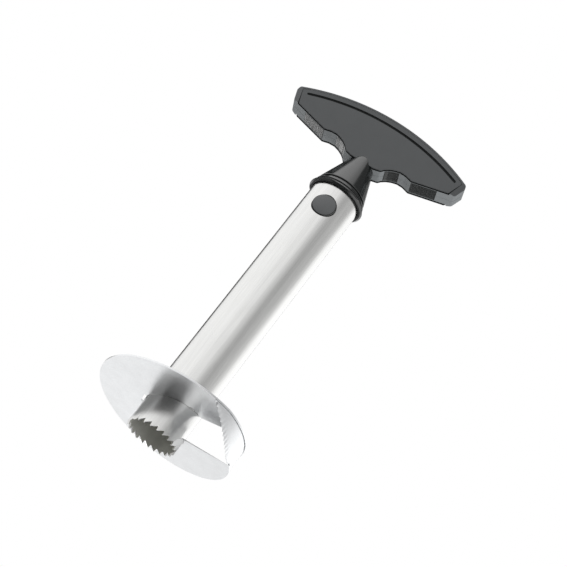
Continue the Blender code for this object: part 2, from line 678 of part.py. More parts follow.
def make_bolt():
    turned("clamp_bolt", [
        (0.0, BOLT_TOP_Z),
        (BOLT_RADIUS, BOLT_TOP_Z),
        (BOLT_RADIUS, BOLT_SEAT_Z),
        (BOLT_HEAD_RADIUS, BOLT_SEAT_Z),
        (BOLT_HEAD_RADIUS, BOLT_BOTTOM_Z),
        (BOLT_KEY_RADIUS, BOLT_BOTTOM_Z),
        (BOLT_KEY_RADIUS, BOLT_BOTTOM_Z + BOLT_KEY_DEPTH),
        (0.0, BOLT_BOTTOM_Z + BOLT_KEY_DEPTH)], steps=SMALL_ROUND_STEPS, material=ZINC_STEEL)
    turned("bolt_washer", [
        (WASHER_RADIUS, WASHER_TOP_Z),
        (WASHER_RADIUS, WASHER_TOP_Z - WASHER_THICKNESS),
        (BOLT_RADIUS + SEAM, WASHER_TOP_Z - WASHER_THICKNESS),
        (BOLT_RADIUS + SEAM, WASHER_TOP_Z)], steps=SMALL_ROUND_STEPS, material=ZINC_STEEL)
    turned("grip_insert", [
        (INSERT_RADIUS, INSERT_TOP_Z),
        (INSERT_RADIUS, INSERT_BOTTOM_Z),
        (BOLT_RADIUS + SEAM, INSERT_BOTTOM_Z),
        (BOLT_RADIUS + SEAM, INSERT_TOP_Z)], steps=SMALL_ROUND_STEPS, material=BRASS)


# T grip with its panels and pads

def grip_point(share, drop):
    return share * GRIP_HALF_LENGTH, GRIP_CROWN_Z - drop * GRIP_HEIGHT


def arc_height(across, radius=GRIP_ARC_RADIUS):
    """Height of an arc that is concentric with the grip's back."""
    return GRIP_ARC_Z + sqrt(radius * radius - across * across)


def arc_points(reach, radius):
    """Points of the arc from its right end to the crown."""
    half = GRIP_ARC_STEPS // 2
    return [(reach * (half - step) / half, arc_height(reach * (half - step) / half, radius))
            for step in range(half)]


def underside():
    return [grip_point(share, drop) for share, drop in GRIP_UNDERSIDE_SHARES]


def underside_height(across):
    """Height of the grip's underside at a place along it."""
    points = underside()
    for (x0, z0), (x1, z1) in zip(points, points[1:]):
        if x0 <= across <= x1:
            return z0 + (z1 - z0) * (across - x0) / (x1 - x0)
    return points[0][1]


def panel_outline(grow, drop):
    """The panel's outline, grown at its ends and back by one amount and lowered underneath by another."""
    low_end = GRIP_HALF_LENGTH - PANEL_LOW_END_INSET + grow
    high_end = GRIP_HALF_LENGTH - PANEL_HIGH_END_INSET + grow
    foot = [(across, up - drop) for across, up in underside() if across < low_end]
    foot.append((low_end, underside_height(low_end) - drop))
    return mirrored(foot + arc_points(high_end, GRIP_ARC_RADIUS - PANEL_RIM + grow))


def groove_outline():
    """A long groove along the back that narrows to both of its ends."""
    radius = GRIP_ARC_RADIUS - GROOVE_INSET
    stations = [GROOVE_HALF_LENGTH * (2 * step / GROOVE_STEPS - 1) for step in range(1, GROOVE_STEPS)]

    def half_width(across):
        return GROOVE_WIDTH / 2 * (1.0 - (across / GROOVE_HALF_LENGTH) ** 4)

    over = [(across, arc_height(across, radius) + half_width(across)) for across in stations]
    under = [(across, arc_height(across, radius) - half_width(across)) for across in reversed(stations)]
    tip = arc_height(GROOVE_HALF_LENGTH, radius)
    return [(-GROOVE_HALF_LENGTH, tip)] + over + [(GROOVE_HALF_LENGTH, tip)] + under


def pad_outline(shares, hand, grow):
    """A strip of the underside; grow widens it for the recess that takes it."""
    start, end = (share * GRIP_HALF_LENGTH for share in shares)
    inside = [across for across, _ in underside() if start < across < end]
    edge = [start - grow] + inside + [end + grow]
    overrun = CUT_OVERRUN if grow else 0.0
    lower = [(hand * across, underside_height(across) - overrun) for across in edge]
    upper = [(hand * across, underside_height(across) + PAD_DEPTH + grow) for across in reversed(edge)]
    return lower + upper


PADS = {
    f"{place}_pad_{side}": (shares, hand)
    for place, shares in (("inner", PAD_INNER_SHARES), ("outer", PAD_OUTER_SHARES))
    for side, hand in (("left", -1), ("right", 1))}


def make_grip():
    outline = mirrored(underside() + arc_points(GRIP_CORNER_X, GRIP_ARC_RADIUS))
    core = plate("grip_core", outline, -HALF_GRIP, HALF_GRIP, material=GRIP_PLASTIC)
    bevel(core, GRIP_CHAMFER)
    recess = panel_outline(SEAM, CUT_OVERRUN)
    for side, facing in (("front", -1), ("rear", 1)):
        near, far = sorted((facing * CORE_HALF, facing * (HALF_GRIP + CUT_OVERRUN)))
        boolean(core, plate(f"{side}_recess", recess, near, far, cutter=True))
    reach = HALF_GRIP + CUT_OVERRUN
    for hand in (-1, 1):
        for number, pocket in enumerate(POCKET_SHARES, 1):
            outline = [(hand * across, up) for across, up in (grip_point(*share) for share in pocket)]
            boolean(core, plate(f"grip_pocket_{number}_{hand + 2}", outline, -reach, reach, cutter=True))
        for number, place in enumerate(PIN_PLACE_SHARES, 1):
            across, up = grip_point(*place)
            boolean(core, cylinder(f"pin_hole_{number}_{hand + 2}", PIN_RADIUS + SEAM, -reach, reach, "Y",
                                   (hand * across, 0.0, up), steps=PIN_STEPS, cutter=True))
    for name, (shares, hand) in PADS.items():
        boolean(core, plate(f"{name}_recess", pad_outline(shares, hand, SEAM), -reach, reach, cutter=True))
        plate(name, pad_outline(shares, hand, 0.0), -CORE_HALF, CORE_HALF, material=SOFT_RUBBER)
    boolean(core, neck_cutter())
    boolean(core, cylinder("insert_bore", INSERT_RADIUS + SEAM, NECK_TOP_Z - CUT_OVERRUN,
                           INSERT_TOP_Z + BOLT_PAST_INSERT + SEAM, cutter=True))


def neck_cutter():
    """The neck's cone with its seam, which the grip and its panels are cut by."""
    if "neck_room" in bpy.data.objects:
        return bpy.data.objects["neck_room"]
    low = COLLAR_TOP_Z
    high = NECK_TOP_Z + SEAM
    return turned("neck_room", [
        (0.0, high), (NECK_TOP_RADIUS + SEAM, high), (neck_radius(low) + SEAM, low), (0.0, low)],
        steps=ROUND_STEPS, cutter=True)


def make_panel(side, facing):
    near, far = sorted((facing * (HALF_GRIP - PANEL_THICKNESS), facing * HALF_GRIP))
    panel = plate(f"{side}_panel", panel_outline(0.0, 0.0), near, far, material=PANEL_PLASTIC)
    for hand in (-1, 1):
        for number, place in enumerate(PIN_PLACE_SHARES, 1):
            across, up = grip_point(*place)
            root = HALF_GRIP - PANEL_THICKNESS / 2
            low, high = sorted((facing * (CORE_HALF - PIN_LENGTH), facing * root))
            pin = cylinder(f"{side}_pin_{number}_{hand + 2}", PIN_RADIUS, low, high, "Y",
                           (hand * across, 0.0, up), steps=PIN_STEPS, cutter=True)
            boolean(panel, pin, "UNION")
    low, high = sorted((facing * (HALF_GRIP - GROOVE_DEPTH), facing * (HALF_GRIP + CUT_OVERRUN)))
    boolean(panel, plate(f"{side}_groove", groove_outline(), low, high, cutter=True))
    boolean(panel, neck_cutter())


make_tube()
make_blade()
make_knife()
make_plug()
make_spring_seat()
for button_side, button_facing in (("front", -1), ("rear", 1)):
    make_button(button_side, button_facing)
make_collar()
make_neck()
make_bolt()
make_grip()
for panel_side, panel_facing in (("front", -1), ("rear", 1)):
    make_panel(panel_side, panel_facing)
for part in PARTS.objects:
    if part.type == "MESH":
        part.modifiers.new("shading", "NODES").node_group = SMOOTH
bpy.context.view_layer.update()
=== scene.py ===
"""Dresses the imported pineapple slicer: finer shapes and a finish for every surface, and a plain studio.

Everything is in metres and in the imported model's own frame. The tube's axis is +Z, the grip runs along X
and the front button faces -Y.
"""

from math import atan2, ceil, copysign, cos, hypot, pi, radians, sin, sqrt, tan
from random import Random

import bmesh
import bpy
from bpy.props import FloatProperty, FloatVectorProperty, IntProperty, PointerProperty
from bpy.types import Operator, Panel, PropertyGroup
from mathutils import Matrix, Vector


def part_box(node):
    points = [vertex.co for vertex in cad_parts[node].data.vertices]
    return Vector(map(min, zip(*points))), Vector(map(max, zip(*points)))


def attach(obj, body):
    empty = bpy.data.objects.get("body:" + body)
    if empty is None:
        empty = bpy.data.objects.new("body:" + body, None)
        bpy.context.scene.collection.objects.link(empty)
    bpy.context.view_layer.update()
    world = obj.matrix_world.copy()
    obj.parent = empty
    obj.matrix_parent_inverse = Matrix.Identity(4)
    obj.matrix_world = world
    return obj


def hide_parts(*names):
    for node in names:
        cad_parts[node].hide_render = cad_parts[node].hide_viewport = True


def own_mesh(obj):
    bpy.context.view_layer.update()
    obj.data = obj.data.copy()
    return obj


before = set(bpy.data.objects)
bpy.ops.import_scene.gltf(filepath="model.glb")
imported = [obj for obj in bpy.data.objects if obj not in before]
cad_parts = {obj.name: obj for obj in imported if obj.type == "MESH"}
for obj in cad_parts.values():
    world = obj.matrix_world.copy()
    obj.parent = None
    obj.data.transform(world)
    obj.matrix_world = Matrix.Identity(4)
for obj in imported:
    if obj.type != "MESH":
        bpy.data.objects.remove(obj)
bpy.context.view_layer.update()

bl_info = {
    "name": "Pineapple slicer looks",
    "version": (1, 0, 0),
    "blender": (4, 5, 0),
    "location": "View3D > Sidebar > Slicer",
    "description": "Dresses the packed pineapple slicer with detailed pieces and finishes",
    "category": "Object",
}

MM = 0.001
SIDES = (("front", -1), ("rear", 1))

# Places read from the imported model
TUBE_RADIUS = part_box("core_tube")[1].x
TUBE_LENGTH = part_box("core_tube")[1].z
BLADE_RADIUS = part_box("slicing_blade")[1].y
COLLAR_LOW, COLLAR_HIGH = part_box("collar_ring")
NECK_LOW, NECK_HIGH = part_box("neck_cone")
GRIP_LOW, GRIP_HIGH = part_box("grip_core")
BUTTON_LOW, BUTTON_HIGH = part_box("release_button_front")
SPRING_LOW, SPRING_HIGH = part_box("button_spring_front")
BUTTON_Z = (BUTTON_LOW.z + BUTTON_HIGH.z) / 2
SEAM = 0.3 * MM
OVERRUN = 2.0 * MM

# Teeth of the tube, as shares of a tooth's pitch and of its depth, and the rows of points above them
TOOTH_SHARES = ((0.0, 0.0), (0.10, 0.0), (0.93, 1.0))
TOOTH_MARKS = (0.0, 0.10, 0.24, 0.38, 0.52, 0.66, 0.80, 0.93)
TOOTH_ROOT_BAND = 1.0 * MM
FOOT_HEIGHTS = [9.0 * MM, 26.0 * MM]
SHAFT_STEPS = 12
HOLE_BAND = 4.0 * MM
HOLE_STEPS = 16

# Spiral of the blade, angles counted anticlockwise from +X seen from above
BLADE_LOW_Z = 9.2 * MM
BLADE_RISE = 16.4 * MM
RIM_EARLY_SHARE = 0.476
ROOT_EARLY_SHARE = 0.7
LEAD_ANGLE = radians(-9.0)
RIM_FLAT_ANGLE = radians(315.0)
ROOT_FLAT_ANGLE = radians(351.0)
END_ANGLE = radians(376.0)
TAIL_WIDTH = 4.0 * MM
TRAILING_TIP_ANGLE = radians(-17.2)
WINDOW_PAST_ANGLE = radians(5.0)
RELIEF_WIDTH = 1.7 * MM
RELIEF_CORNER = 0.6 * MM
RELIEF_ANGLES = ((60.0, 85.0), (176.0, 201.0), (306.0, 322.0))
RELIEF_STEPS = 16
BLADE_COLUMNS = 308
BLADE_RINGS = 12
BLADE_GROUND_WIDTH = radians(3.2)
BLADE_EDGE_SHARE = 0.12

# Serrated knife at the rim
KNIFE_INSET = 0.5 * MM
KNIFE_FRONT_ANGLE = radians(-58.0)
KNIFE_SWEEP_ANGLE = radians(-20.0)
KNIFE_FOOT_ANGLE = radians(-11.0)
KNIFE_BACK_TOP_ANGLE = radians(16.0)
KNIFE_BACK_LOW_ANGLE = radians(24.0)
KNIFE_NOSE_HEIGHT = 0.8 * MM
KNIFE_SWEEP_POWER = 1.3
KNIFE_GULLET_POWER = 1.4
KNIFE_GROUND_DEPTH = 2.6 * MM
KNIFE_GROUND_SHARE = 0.6
KNIFE_EDGE_SHARE = 0.15
KNIFE_TOOTH_COLUMNS = 8
KNIFE_FOOT_COLUMNS = 4
KNIFE_BACK_COLUMNS = 24
KNIFE_ROWS = 6
KNIFE_GROUND_ROWS = 3

# Buttons and springs
BUTTON_RADIUS = 7.4 * MM
BUTTON_FLANGE = 1.7 * MM
BUTTON_FLANGE_THICKNESS = 1.5 * MM
BUTTON_SKIN = 2.2 * MM
BUTTON_POCKET_RADIUS = 5.2 * MM
BUTTON_HOLE_CLEARANCE = 0.3 * MM
BUTTON_DOME = 0.95 * MM
BUTTON_RIM = 0.5 * MM
BUTTON_STEPS = 96
DOME_RINGS = 8
WIRE_RADIUS = 0.4 * MM
SPRING_TURNS = 5
SPRING_TURN_POINTS = 32
WIRE_POINTS = 10

# Collar and neck
COLLAR_BAND = 1.95 * MM
COLLAR_SHOULDER = 1.0 * MM
COLLAR_FOOT = 1.1 * MM
COLLAR_RIDGES = 1
COLLAR_RIDGE_PITCH = 3.0 * MM
COLLAR_GROOVE = 1.3 * MM
COLLAR_GROOVE_DEPTH = 0.8 * MM
COLLAR_STEP_Z = 195.8 * MM
COLLAR_BORE_RADIUS = 11.3 * MM
COLLAR_EDGE = 0.3 * MM
COLLAR_STEPS = 192
NECK_TOP_RADIUS = 7.2 * MM
NECK_SLOPE = (16.62 * MM - NECK_TOP_RADIUS) / (27.85 * MM)
NECK_EDGE = 0.5 * MM
NECK_STEPS = 160
NECK_OVERLAP = 0.03 * MM
BOLT_HOLE_RADIUS = 2.8 * MM

# Grip outline, in shares of its half length and of its height below the crown
UNDERSIDE_SHARES = (
    (0.131, 1.0), (0.206, 0.967), (0.232, 0.914), (0.268, 0.867), (0.318, 0.824),
    (0.376, 0.796), (0.440, 0.799), (0.515, 0.833), (0.957, 0.642), (1.0, 0.432))
CORNER_SHARES = (0.990, 0.372)
GRIP_ARC_STEPS = 56
GRIP_EDGE_BEND = 0.2 * MM
GRIP_BEND_SHARE = 0.7
PARTING_LINE = ((0.22 * MM, 0.0), (0.14 * MM, 0.12 * MM))
END_SLOPE_WIDTH = 3.4 * MM
END_SLOPE_ANGLE = radians(27.0)
END_SLOPE_REACH = 3.0 * MM
INSERT_BORE_RADIUS = 4.1 * MM
INSERT_BORE_DEPTH = 14.3 * MM
INSERT_BORE_STEPS = 48

# Panels and their groove
PANEL_LOW_END_INSET = 6.7 * MM
PANEL_HIGH_END_INSET = 3.1 * MM
PANEL_RIM = 1.7 * MM
PANEL_ROOM = 0.12 * MM
PANEL_THICKNESS = 1.6 * MM
PANEL_LIP = 0.12 * MM
PANEL_STEP = 0.05 * MM
PANEL_REBATE = 1.6 * MM
PANEL_END_REBATE = 0.5 * MM
REBATE_FULL = 0.6 * MM
REBATE_FADE = 2.0 * MM
END_REBATE_FADE = 0.4 * MM
GROOVE_INSET = 5.75 * MM
GROOVE_END_INSET = 6.4 * MM
GROOVE_RADIUS = 138.4 * MM
GROOVE_END = 1.6 * MM
GROOVE_STATIONS = 144
GROOVE_POINTS = 16

# Finger pads and their pebbles
PAD_DEPTH = 1.6 * MM
PAD_LIP = 0.45 * MM
PAD_ROOM = 0.1 * MM
PAD_SHARES = {"inner": (0.238, 0.370), "outer": (0.518, 0.780)}
PAD_CELL = 0.19 * MM
PAD_FADE = 0.5 * MM
PEBBLE_ROW_SHARE = 0.87
PEBBLE_SHIFT = 0.18
PEBBLE_REACH_SHARE = 0.56

# Sizes worked out from those above
HALF_GRIP = GRIP_HIGH.y
HALF_LENGTH = GRIP_HIGH.x
CROWN_Z = 259.7 * MM
GRIP_HEIGHT = CROWN_Z - GRIP_LOW.z
CORE_HALF = HALF_GRIP - PANEL_THICKNESS - SEAM
UNDERSIDE = [(share * HALF_LENGTH, CROWN_Z - drop * GRIP_HEIGHT) for share, drop in UNDERSIDE_SHARES]
CORNER_X = CORNER_SHARES[0] * HALF_LENGTH
CORNER_DROP = CORNER_SHARES[1] * GRIP_HEIGHT
ARC_RADIUS = (CORNER_X ** 2 + CORNER_DROP ** 2) / (2 * CORNER_DROP)
ARC_Z = CROWN_Z - ARC_RADIUS
END_SLOPE_DEPTH = END_SLOPE_WIDTH * tan(END_SLOPE_ANGLE)
GROOVE_HALF_LENGTH = HALF_LENGTH - GROOVE_END_INSET
GROOVE_Z = CROWN_Z - GROOVE_INSET - GROOVE_RADIUS
PAD_HALF = CORE_HALF - PAD_LIP

# Edges steeper than these are shaded sharp
SHARP_ANGLE = radians(32.0)
KNIFE_SHARP_ANGLE = radians(40.0)
PAD_SHARP_ANGLE = radians(50.0)
FLAT_FACE_WEIGHT = 80

# A rounded corner takes at most a share of the edges beside it, and a mitre isn't drawn out past a limit.
# Corners that bend less than these stay as they are when an outline is rounded
CORNER_STEPS = 4
CORNER_REACH_SHARE = 0.45
MITRE_LIMIT = 0.5
RELIEF_BEND = radians(30.0)
COLLAR_BEND = radians(12.0)
NECK_BEND = radians(25.0)
GRIP_BEND = radians(6.0)

# Where a piece's second finish or its painted shade starts: how near a plane its faces are, and shares of a
# wall or a button's rim, of the grip's edge and of the groove's size
ON_FACE = 0.01 * MM
FOOT_FACE = 0.2 * MM
WALL_SHARE = 0.9
GRIP_EDGE_SHARE = 1.5
GROOVE_WIDTH_SHARE = 0.55
GROOVE_DEPTH_SHARE = 1.1


# Sizes and colours that can be changed in the sidebar

def colour(name, description, default):
    return FloatVectorProperty(
        name=name, description=description, default=default, subtype="COLOR", min=0.0, max=1.0)


def length(name, description, default):
    return FloatProperty(
        name=name, description=description, default=default, min=0.0, unit="LENGTH", precision=4)


def count(name, description, default, least):
    return IntProperty(name=name, description=description, default=default, min=least)


def light(name, description, default, unit="NONE"):
    return FloatProperty(name=name, description=description, default=default, min=0.0, unit=unit)


class SlicerSteelSizes(PropertyGroup):
    """Sizes of the tube, the blade and the knife."""

    tube_wall: length("Tube wall", "Thickness of the tube's sheet", 1.0 * MM)
    tooth_count: count("Tube teeth", "Teeth round the foot of the tube", 23, 3)
    tooth_depth: length("Tooth depth", "Height of a tube tooth", 2.4 * MM)
    blade_sheet: length("Blade sheet", "Thickness of the spiral blade", 1.0 * MM)
    knife_sheet: length("Knife sheet", "Thickness of the rim knife", 0.8 * MM)
    knife_teeth: count("Knife teeth", "Teeth along the rim knife's edge", 12, 2)
    knife_tooth_depth: length("Knife tooth depth", "Height of a knife tooth", 1.0 * MM)


class SlicerGripSizes(PropertyGroup):
    """Roundings and textures of the plastic pieces."""

    edge: length("Grip edge", "Chamfer round the grip's faces", 0.6 * MM)
    panel_edge: length("Panel edge", "Rounding of a panel's outer edge", 0.3 * MM)
    corner: length("Outline corner", "Rounding of the corners of the underside", 1.7 * MM)
    groove_width: length("Groove width", "Width of the groove along the back", 1.8 * MM)
    groove_depth: length("Groove depth", "Depth of the groove along the back", 0.9 * MM)
    pebble_pitch: length("Pebble pitch", "Distance between the pads' pebbles", 1.2 * MM)
    pebble_height: length("Pebble height", "Height of the pads' pebbles", 0.14 * MM)


class SlicerColours(PropertyGroup):
    """Base colours of the finishes."""

    tube: colour("Tube steel", "Brushed steel of the tube", (0.74, 0.74, 0.73))
    bore: colour("Tube bore", "Unpolished steel inside the tube", (0.70, 0.70, 0.66))
    blade: colour("Blade steel", "Polished steel of the blade", (0.80, 0.81, 0.82))
    # Painted light: the grip body's band round its edge, underside and ends above all, gets this lighter
    # copy of the rim's plastic
    core: colour("Grip body", "Textured plastic of the grip's body", (0.148, 0.156, 0.160))
    rim: colour("Grip rim", "Matte plastic of the grip's faces round the panels", (0.052, 0.055, 0.057))
    panel: colour("Grip panels", "Matte plastic of the panels", (0.050, 0.053, 0.055))
    # Painted shade: a near-black colour put in the groove, the gaps round the panels, the collar's foot and
    # the buttons' rims
    lining: colour("Painted shade", "Painted shade for grooves, gaps and the collar's foot", (0.010, 0.011, 0.011))
    pad: colour("Pads", "Soft rubber of the finger pads", (0.010, 0.011, 0.011))
    gloss: colour("Collar and neck", "Black plastic of the collar and the neck", (0.010, 0.011, 0.011))
    button: colour("Buttons", "Satin plastic of the release buttons", (0.070, 0.073, 0.075))
    plug: colour("Plug", "Plain plastic of the parts inside the tube", (0.030, 0.030, 0.032))
    zinc: colour("Zinc plate", "Plated steel of the bolt, washer and springs", (0.55, 0.56, 0.58))
    brass: colour("Brass", "Turned brass of the threaded insert", (0.72, 0.52, 0.22))


class SlicerStudio(PropertyGroup):
    """Light and backdrop."""

    fill: light("Fill", "Strength of the even light on plain surfaces from above", 0.75)
    bounce: light("Bounce", "Strength of the light on plain surfaces from below", 1.25)
    surround: light("Surround", "Strength of the white surround that gloss and metal show", 1.03)
    key: light("Key lamp", "Power of the broad lamp at the upper left", 3.5, "POWER")
    edge: light("Edge lamp", "Power of the low lamp behind the right end", 5.5, "POWER")
    floor: colour("Floor", "Colour of the pale floor", (0.86, 0.86, 0.86))


# Making meshes

def add(name, data):
    """A new object in the scene."""
    thing = bpy.data.objects.new(name, data)
    bpy.context.scene.collection.objects.link(thing)
    return thing


def mesh_from(name, shape):
    """The mesh of a bmesh, which is freed."""
    mesh = bpy.data.meshes.new(name)
    shape.to_mesh(mesh)
    shape.free()
    return mesh


def tool(name, shape):
    """An object from a bmesh, as it is used to cut a piece."""
    bmesh.ops.recalc_face_normals(shape, faces=shape.faces)
    return add(name, mesh_from(name, shape))


def cut(piece, cutters):
    """Cut a piece, keep the result as its own mesh, and delete the cutters."""
    for cutter in cutters:
        modifier = piece.modifiers.new("cut", "BOOLEAN")
        modifier.operation = "DIFFERENCE"
        modifier.solver = "EXACT"
        modifier.object = cutter
    bpy.context.view_layer.update()
    old = piece.data
    result = bpy.data.meshes.new_from_object(
        piece.evaluated_get(bpy.context.evaluated_depsgraph_get()))
    piece.modifiers.clear()
    piece.data = result
    result.name = old.name
    for mesh in (old, *(cutter.data for cutter in cutters)):
        bpy.data.meshes.remove(mesh)


def place(name, shape, node_name, look, cutters=(), angle=SHARP_ANGLE, body="root"):
    """A finished piece from a bmesh, riding on its body in place of the solid that it stands for.

    Edges steeper than the angle are sharp and large flat faces stay flat. Without one it is smooth all over.
    """
    piece = tool(name, shape)
    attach(piece, body)
    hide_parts(node_name)
    if cutters:
        cut(piece, cutters)
    piece.data.shade_smooth()
    if angle:
        piece.data.set_sharp_from_angle(angle=angle)
        weighted = piece.modifiers.new("weighted_normals", "WEIGHTED_NORMAL")
        weighted.keep_sharp = True
        weighted.weight = FLAT_FACE_WEIGHT
    return finish(piece, look)


def spaced(start, end, steps):
    """Values from start to end in even steps."""
    return [start + (end - start) * step / steps for step in range(steps + 1)]


def turns(steps):
    """Angles all round in even steps."""
    return [2 * pi * step / steps for step in range(steps)]


def rounded(outline, radius, smallest):
    """A closed outline with its corners rounded, apart from those that bend less than an angle."""
    made = []
    for index, point in enumerate(outline):
        here = Vector(point)
        back = Vector(outline[index - 1]) - here
        ahead = Vector(outline[(index + 1) % len(outline)]) - here
        turn = pi - back.angle(ahead)
        if turn < smallest:
            made.append(tuple(here))
            continue
        reach = min(radius * tan(turn / 2), CORNER_REACH_SHARE * min(back.length, ahead.length))
        start = here + back.normalized() * reach
        end = here + ahead.normalized() * reach
        for share in spaced(0.0, 1.0, CORNER_STEPS):
            bent = start * (1 - share) ** 2 + here * 2 * share * (1 - share) + end * share ** 2
            made.append(tuple(bent))
    return made


def inset(outline, amount):
    """An outline moved inwards, given anticlockwise."""
    made = []
    for index, point in enumerate(outline):
        here = Vector(point)
        arriving = (here - Vector(outline[index - 1])).normalized()
        leaving = (Vector(outline[(index + 1) % len(outline)]) - here).normalized()
        across = Vector((-arriving.y, arriving.x))
        inward = (across + Vector((-leaving.y, leaving.x))).normalized()
        made.append(tuple(here + inward * amount / max(MITRE_LIMIT, inward.dot(across))))
    return made


def solid(rows, loop=False):
    """A closed solid from rings of points: a flat face or a single point at each end, or a loop."""
    shape = bmesh.new()
    rings = [[shape.verts.new(point) for point in row] for row in rows]
    for lower, upper in zip(rings, rings[1:] + rings[:1] if loop else rings[1:]):
        points = max(len(lower), len(upper))
        for index in range(points):
            after = (index + 1) % points
            shape.faces.new(list(dict.fromkeys((
                lower[index % len(lower)], lower[after % len(lower)],
                upper[after % len(upper)], upper[index % len(upper)]))))
    for end in () if loop else (rings[0], rings[-1][::-1]):
        if len(end) > 1:
            shape.faces.new(end)
    return shape


def loft(stations):
    """A solid from a stack of outlines in X and Z at places along Y, all with as many points."""
    return solid([[(across, along, up) for across, up in outline] for along, outline in stations])


def level_plate(outline, low, high):
    """A cutter from an outline in X and Y."""
    return solid([[(across, along, height) for across, along in outline] for height in (low, high)])


def lathe(profile, steps, loop=True):
    """A solid turned about Z from a profile of radius and height."""
    return solid([
        [(radius * cos(turn), radius * sin(turn), height) for turn in turns(steps if radius else 1)]
        for radius, height in profile], loop)


def button_turning(profile, facing=1):
    """A solid turned about the buttons' axis from a profile of radius and depth."""
    return solid([
        [(radius * cos(turn), facing * depth, BUTTON_Z + radius * sin(turn))
         for turn in turns(BUTTON_STEPS if radius else 1)]
        for radius, depth in profile])


def between(start, end, share):
    return start + (end - start) * share


def follow(points, across):
    """Height at a place along a line of points, and the first point's height past its ends."""
    for (x0, z0), (x1, z1) in zip(points, points[1:]):
        if x0 <= across <= x1:
            return z0 + (z1 - z0) * (across - x0) / (x1 - x0)
    return points[0][1]


def polar(radius, angle, height):
    return Vector((radius * cos(angle), radius * sin(angle), height))


def skin(columns, rows, spot, closed=False):
    """A sheet solid from a function that gives the outer and the inner point of each column and row."""
    shape = bmesh.new()
    outer, inner = (
        [[shape.verts.new(spot(column, row)[side]) for row in range(rows + 1)]
         for column in range(columns if closed else columns + 1)]
        for side in (0, 1))
    for column in range(columns):
        after = (column + 1) % len(outer)
        here, ahead, under, beyond = outer[column], outer[after], inner[column], inner[after]
        for row in range(rows):
            shape.faces.new((here[row], ahead[row], ahead[row + 1], here[row + 1]))
            shape.faces.new((under[row], under[row + 1], beyond[row + 1], beyond[row]))
        for row in (0, rows):
            shape.faces.new((here[row], under[row], beyond[row], ahead[row]))
    for column in () if closed else (0, columns):
        here, under = outer[column], inner[column]
        for row in range(rows):
            shape.faces.new((here[row], here[row + 1], under[row + 1], under[row]))
    return shape


# Making materials

def node(tree, kind, sockets=None, **settings):
    """A node with its settings, and its sockets set or linked."""
    made = tree.nodes.new("ShaderNode" + kind)
    for name, value in settings.items():
        setattr(made, name, value)
    for name, value in (sockets or {}).items():
        socket = made.inputs[name]
        if isinstance(value, bpy.types.NodeSocket):
            tree.links.new(value, socket)
        else:
            socket.default_value = value
    return made


def math(tree, operation, first, second=0.0, third=0.0):
    return node(tree, "Math", {0: first, 1: second, 2: third}, operation=operation).outputs[0]


def stretched(tree, vector, factors):
    return node(tree, "VectorMath", {0: vector, 1: factors}, operation="MULTIPLY").outputs["Vector"]


def noise(tree, where, scale, detail, **more):
    sockets = {"Vector": where, "Scale": scale, "Detail": detail, **more}
    return node(tree, "TexNoise", sockets).outputs["Fac"]


def spread(tree, value, from_low, from_high, to_low, to_high, smooth=False):
    """A value moved from one range to another."""
    return node(tree, "MapRange", {
        "Value": value, "From Min": from_low, "From Max": from_high, "To Min": to_low, "To Max": to_high,
    }, interpolation_type="SMOOTHSTEP" if smooth else "LINEAR").outputs["Result"]


def mixed(tree, factor, first, second):
    """The shader of a Mix Shader node."""
    return node(tree, "MixShader", {0: factor, 1: first, 2: second}).outputs[0]


def group(name, inputs, outputs):
    """An empty shader node group that takes a vector and named numbers, with its outputs."""
    tree = bpy.data.node_groups.new(name, "ShaderNodeTree")
    tree.interface.new_socket("Vector", in_out="INPUT", socket_type="NodeSocketVector")
    for label, default in inputs.items():
        kind = "NodeSocketVector" if isinstance(default, tuple) else "NodeSocketFloat"
        tree.interface.new_socket(label, in_out="INPUT", socket_type=kind).default_value = default
    for label in outputs:
        tree.interface.new_socket(label, in_out="OUTPUT", socket_type="NodeSocketFloat")
    return tree, tree.nodes.new("NodeGroupInput").outputs, tree.nodes.new("NodeGroupOutput").inputs


def moulded_grain():
    """Fine moulded or etched grain: a height and a shade that change over the surface."""
    tree, given, result = group("moulded_grain", {"Size": 0.4 * MM, "Contrast": 0.15}, ("Height", "Shade"))
    scale = math(tree, "DIVIDE", 1.0, given["Size"])
    fine = noise(tree, given["Vector"], scale, 3.0, Roughness=0.6)
    cell = node(tree, "TexVoronoi", {"Vector": given["Vector"], "Scale": scale}).outputs["Distance"]
    height = math(tree, "ADD", fine, math(tree, "MULTIPLY", cell, 0.5))
    tree.links.new(height, result["Height"])
    low = math(tree, "SUBTRACT", 1.0, given["Contrast"])
    high = math(tree, "ADD", 1.0, given["Contrast"])
    tree.links.new(spread(tree, fine, 0.3, 0.7, low, high), result["Shade"])
    return tree


def handling_marks():
    """Faint marks of use: broad smudges and a few fine scratches."""
    tree, given, result = group("handling_marks", {"Size": 12.0 * MM}, ("Smudge", "Scratch"))
    scale = math(tree, "DIVIDE", 1.0, given["Size"])
    broad = noise(tree, given["Vector"], scale, 4.0, Distortion=0.6)
    tree.links.new(spread(tree, broad, 0.35, 0.7, 0.0, 1.0, smooth=True), result["Smudge"])
    turned = node(tree, "VectorRotate", {"Vector": given["Vector"], "Rotation": (0.5, 0.3, 0.9)},
                  rotation_type="EULER_XYZ").outputs["Vector"]
    lines = noise(tree, stretched(tree, turned, (1.0, 0.04, 0.04)), math(tree, "MULTIPLY", scale, 14.0), 2.0)
    tree.links.new(spread(tree, lines, 0.68, 0.74, 0.0, 1.0, smooth=True), result["Scratch"])
    return tree


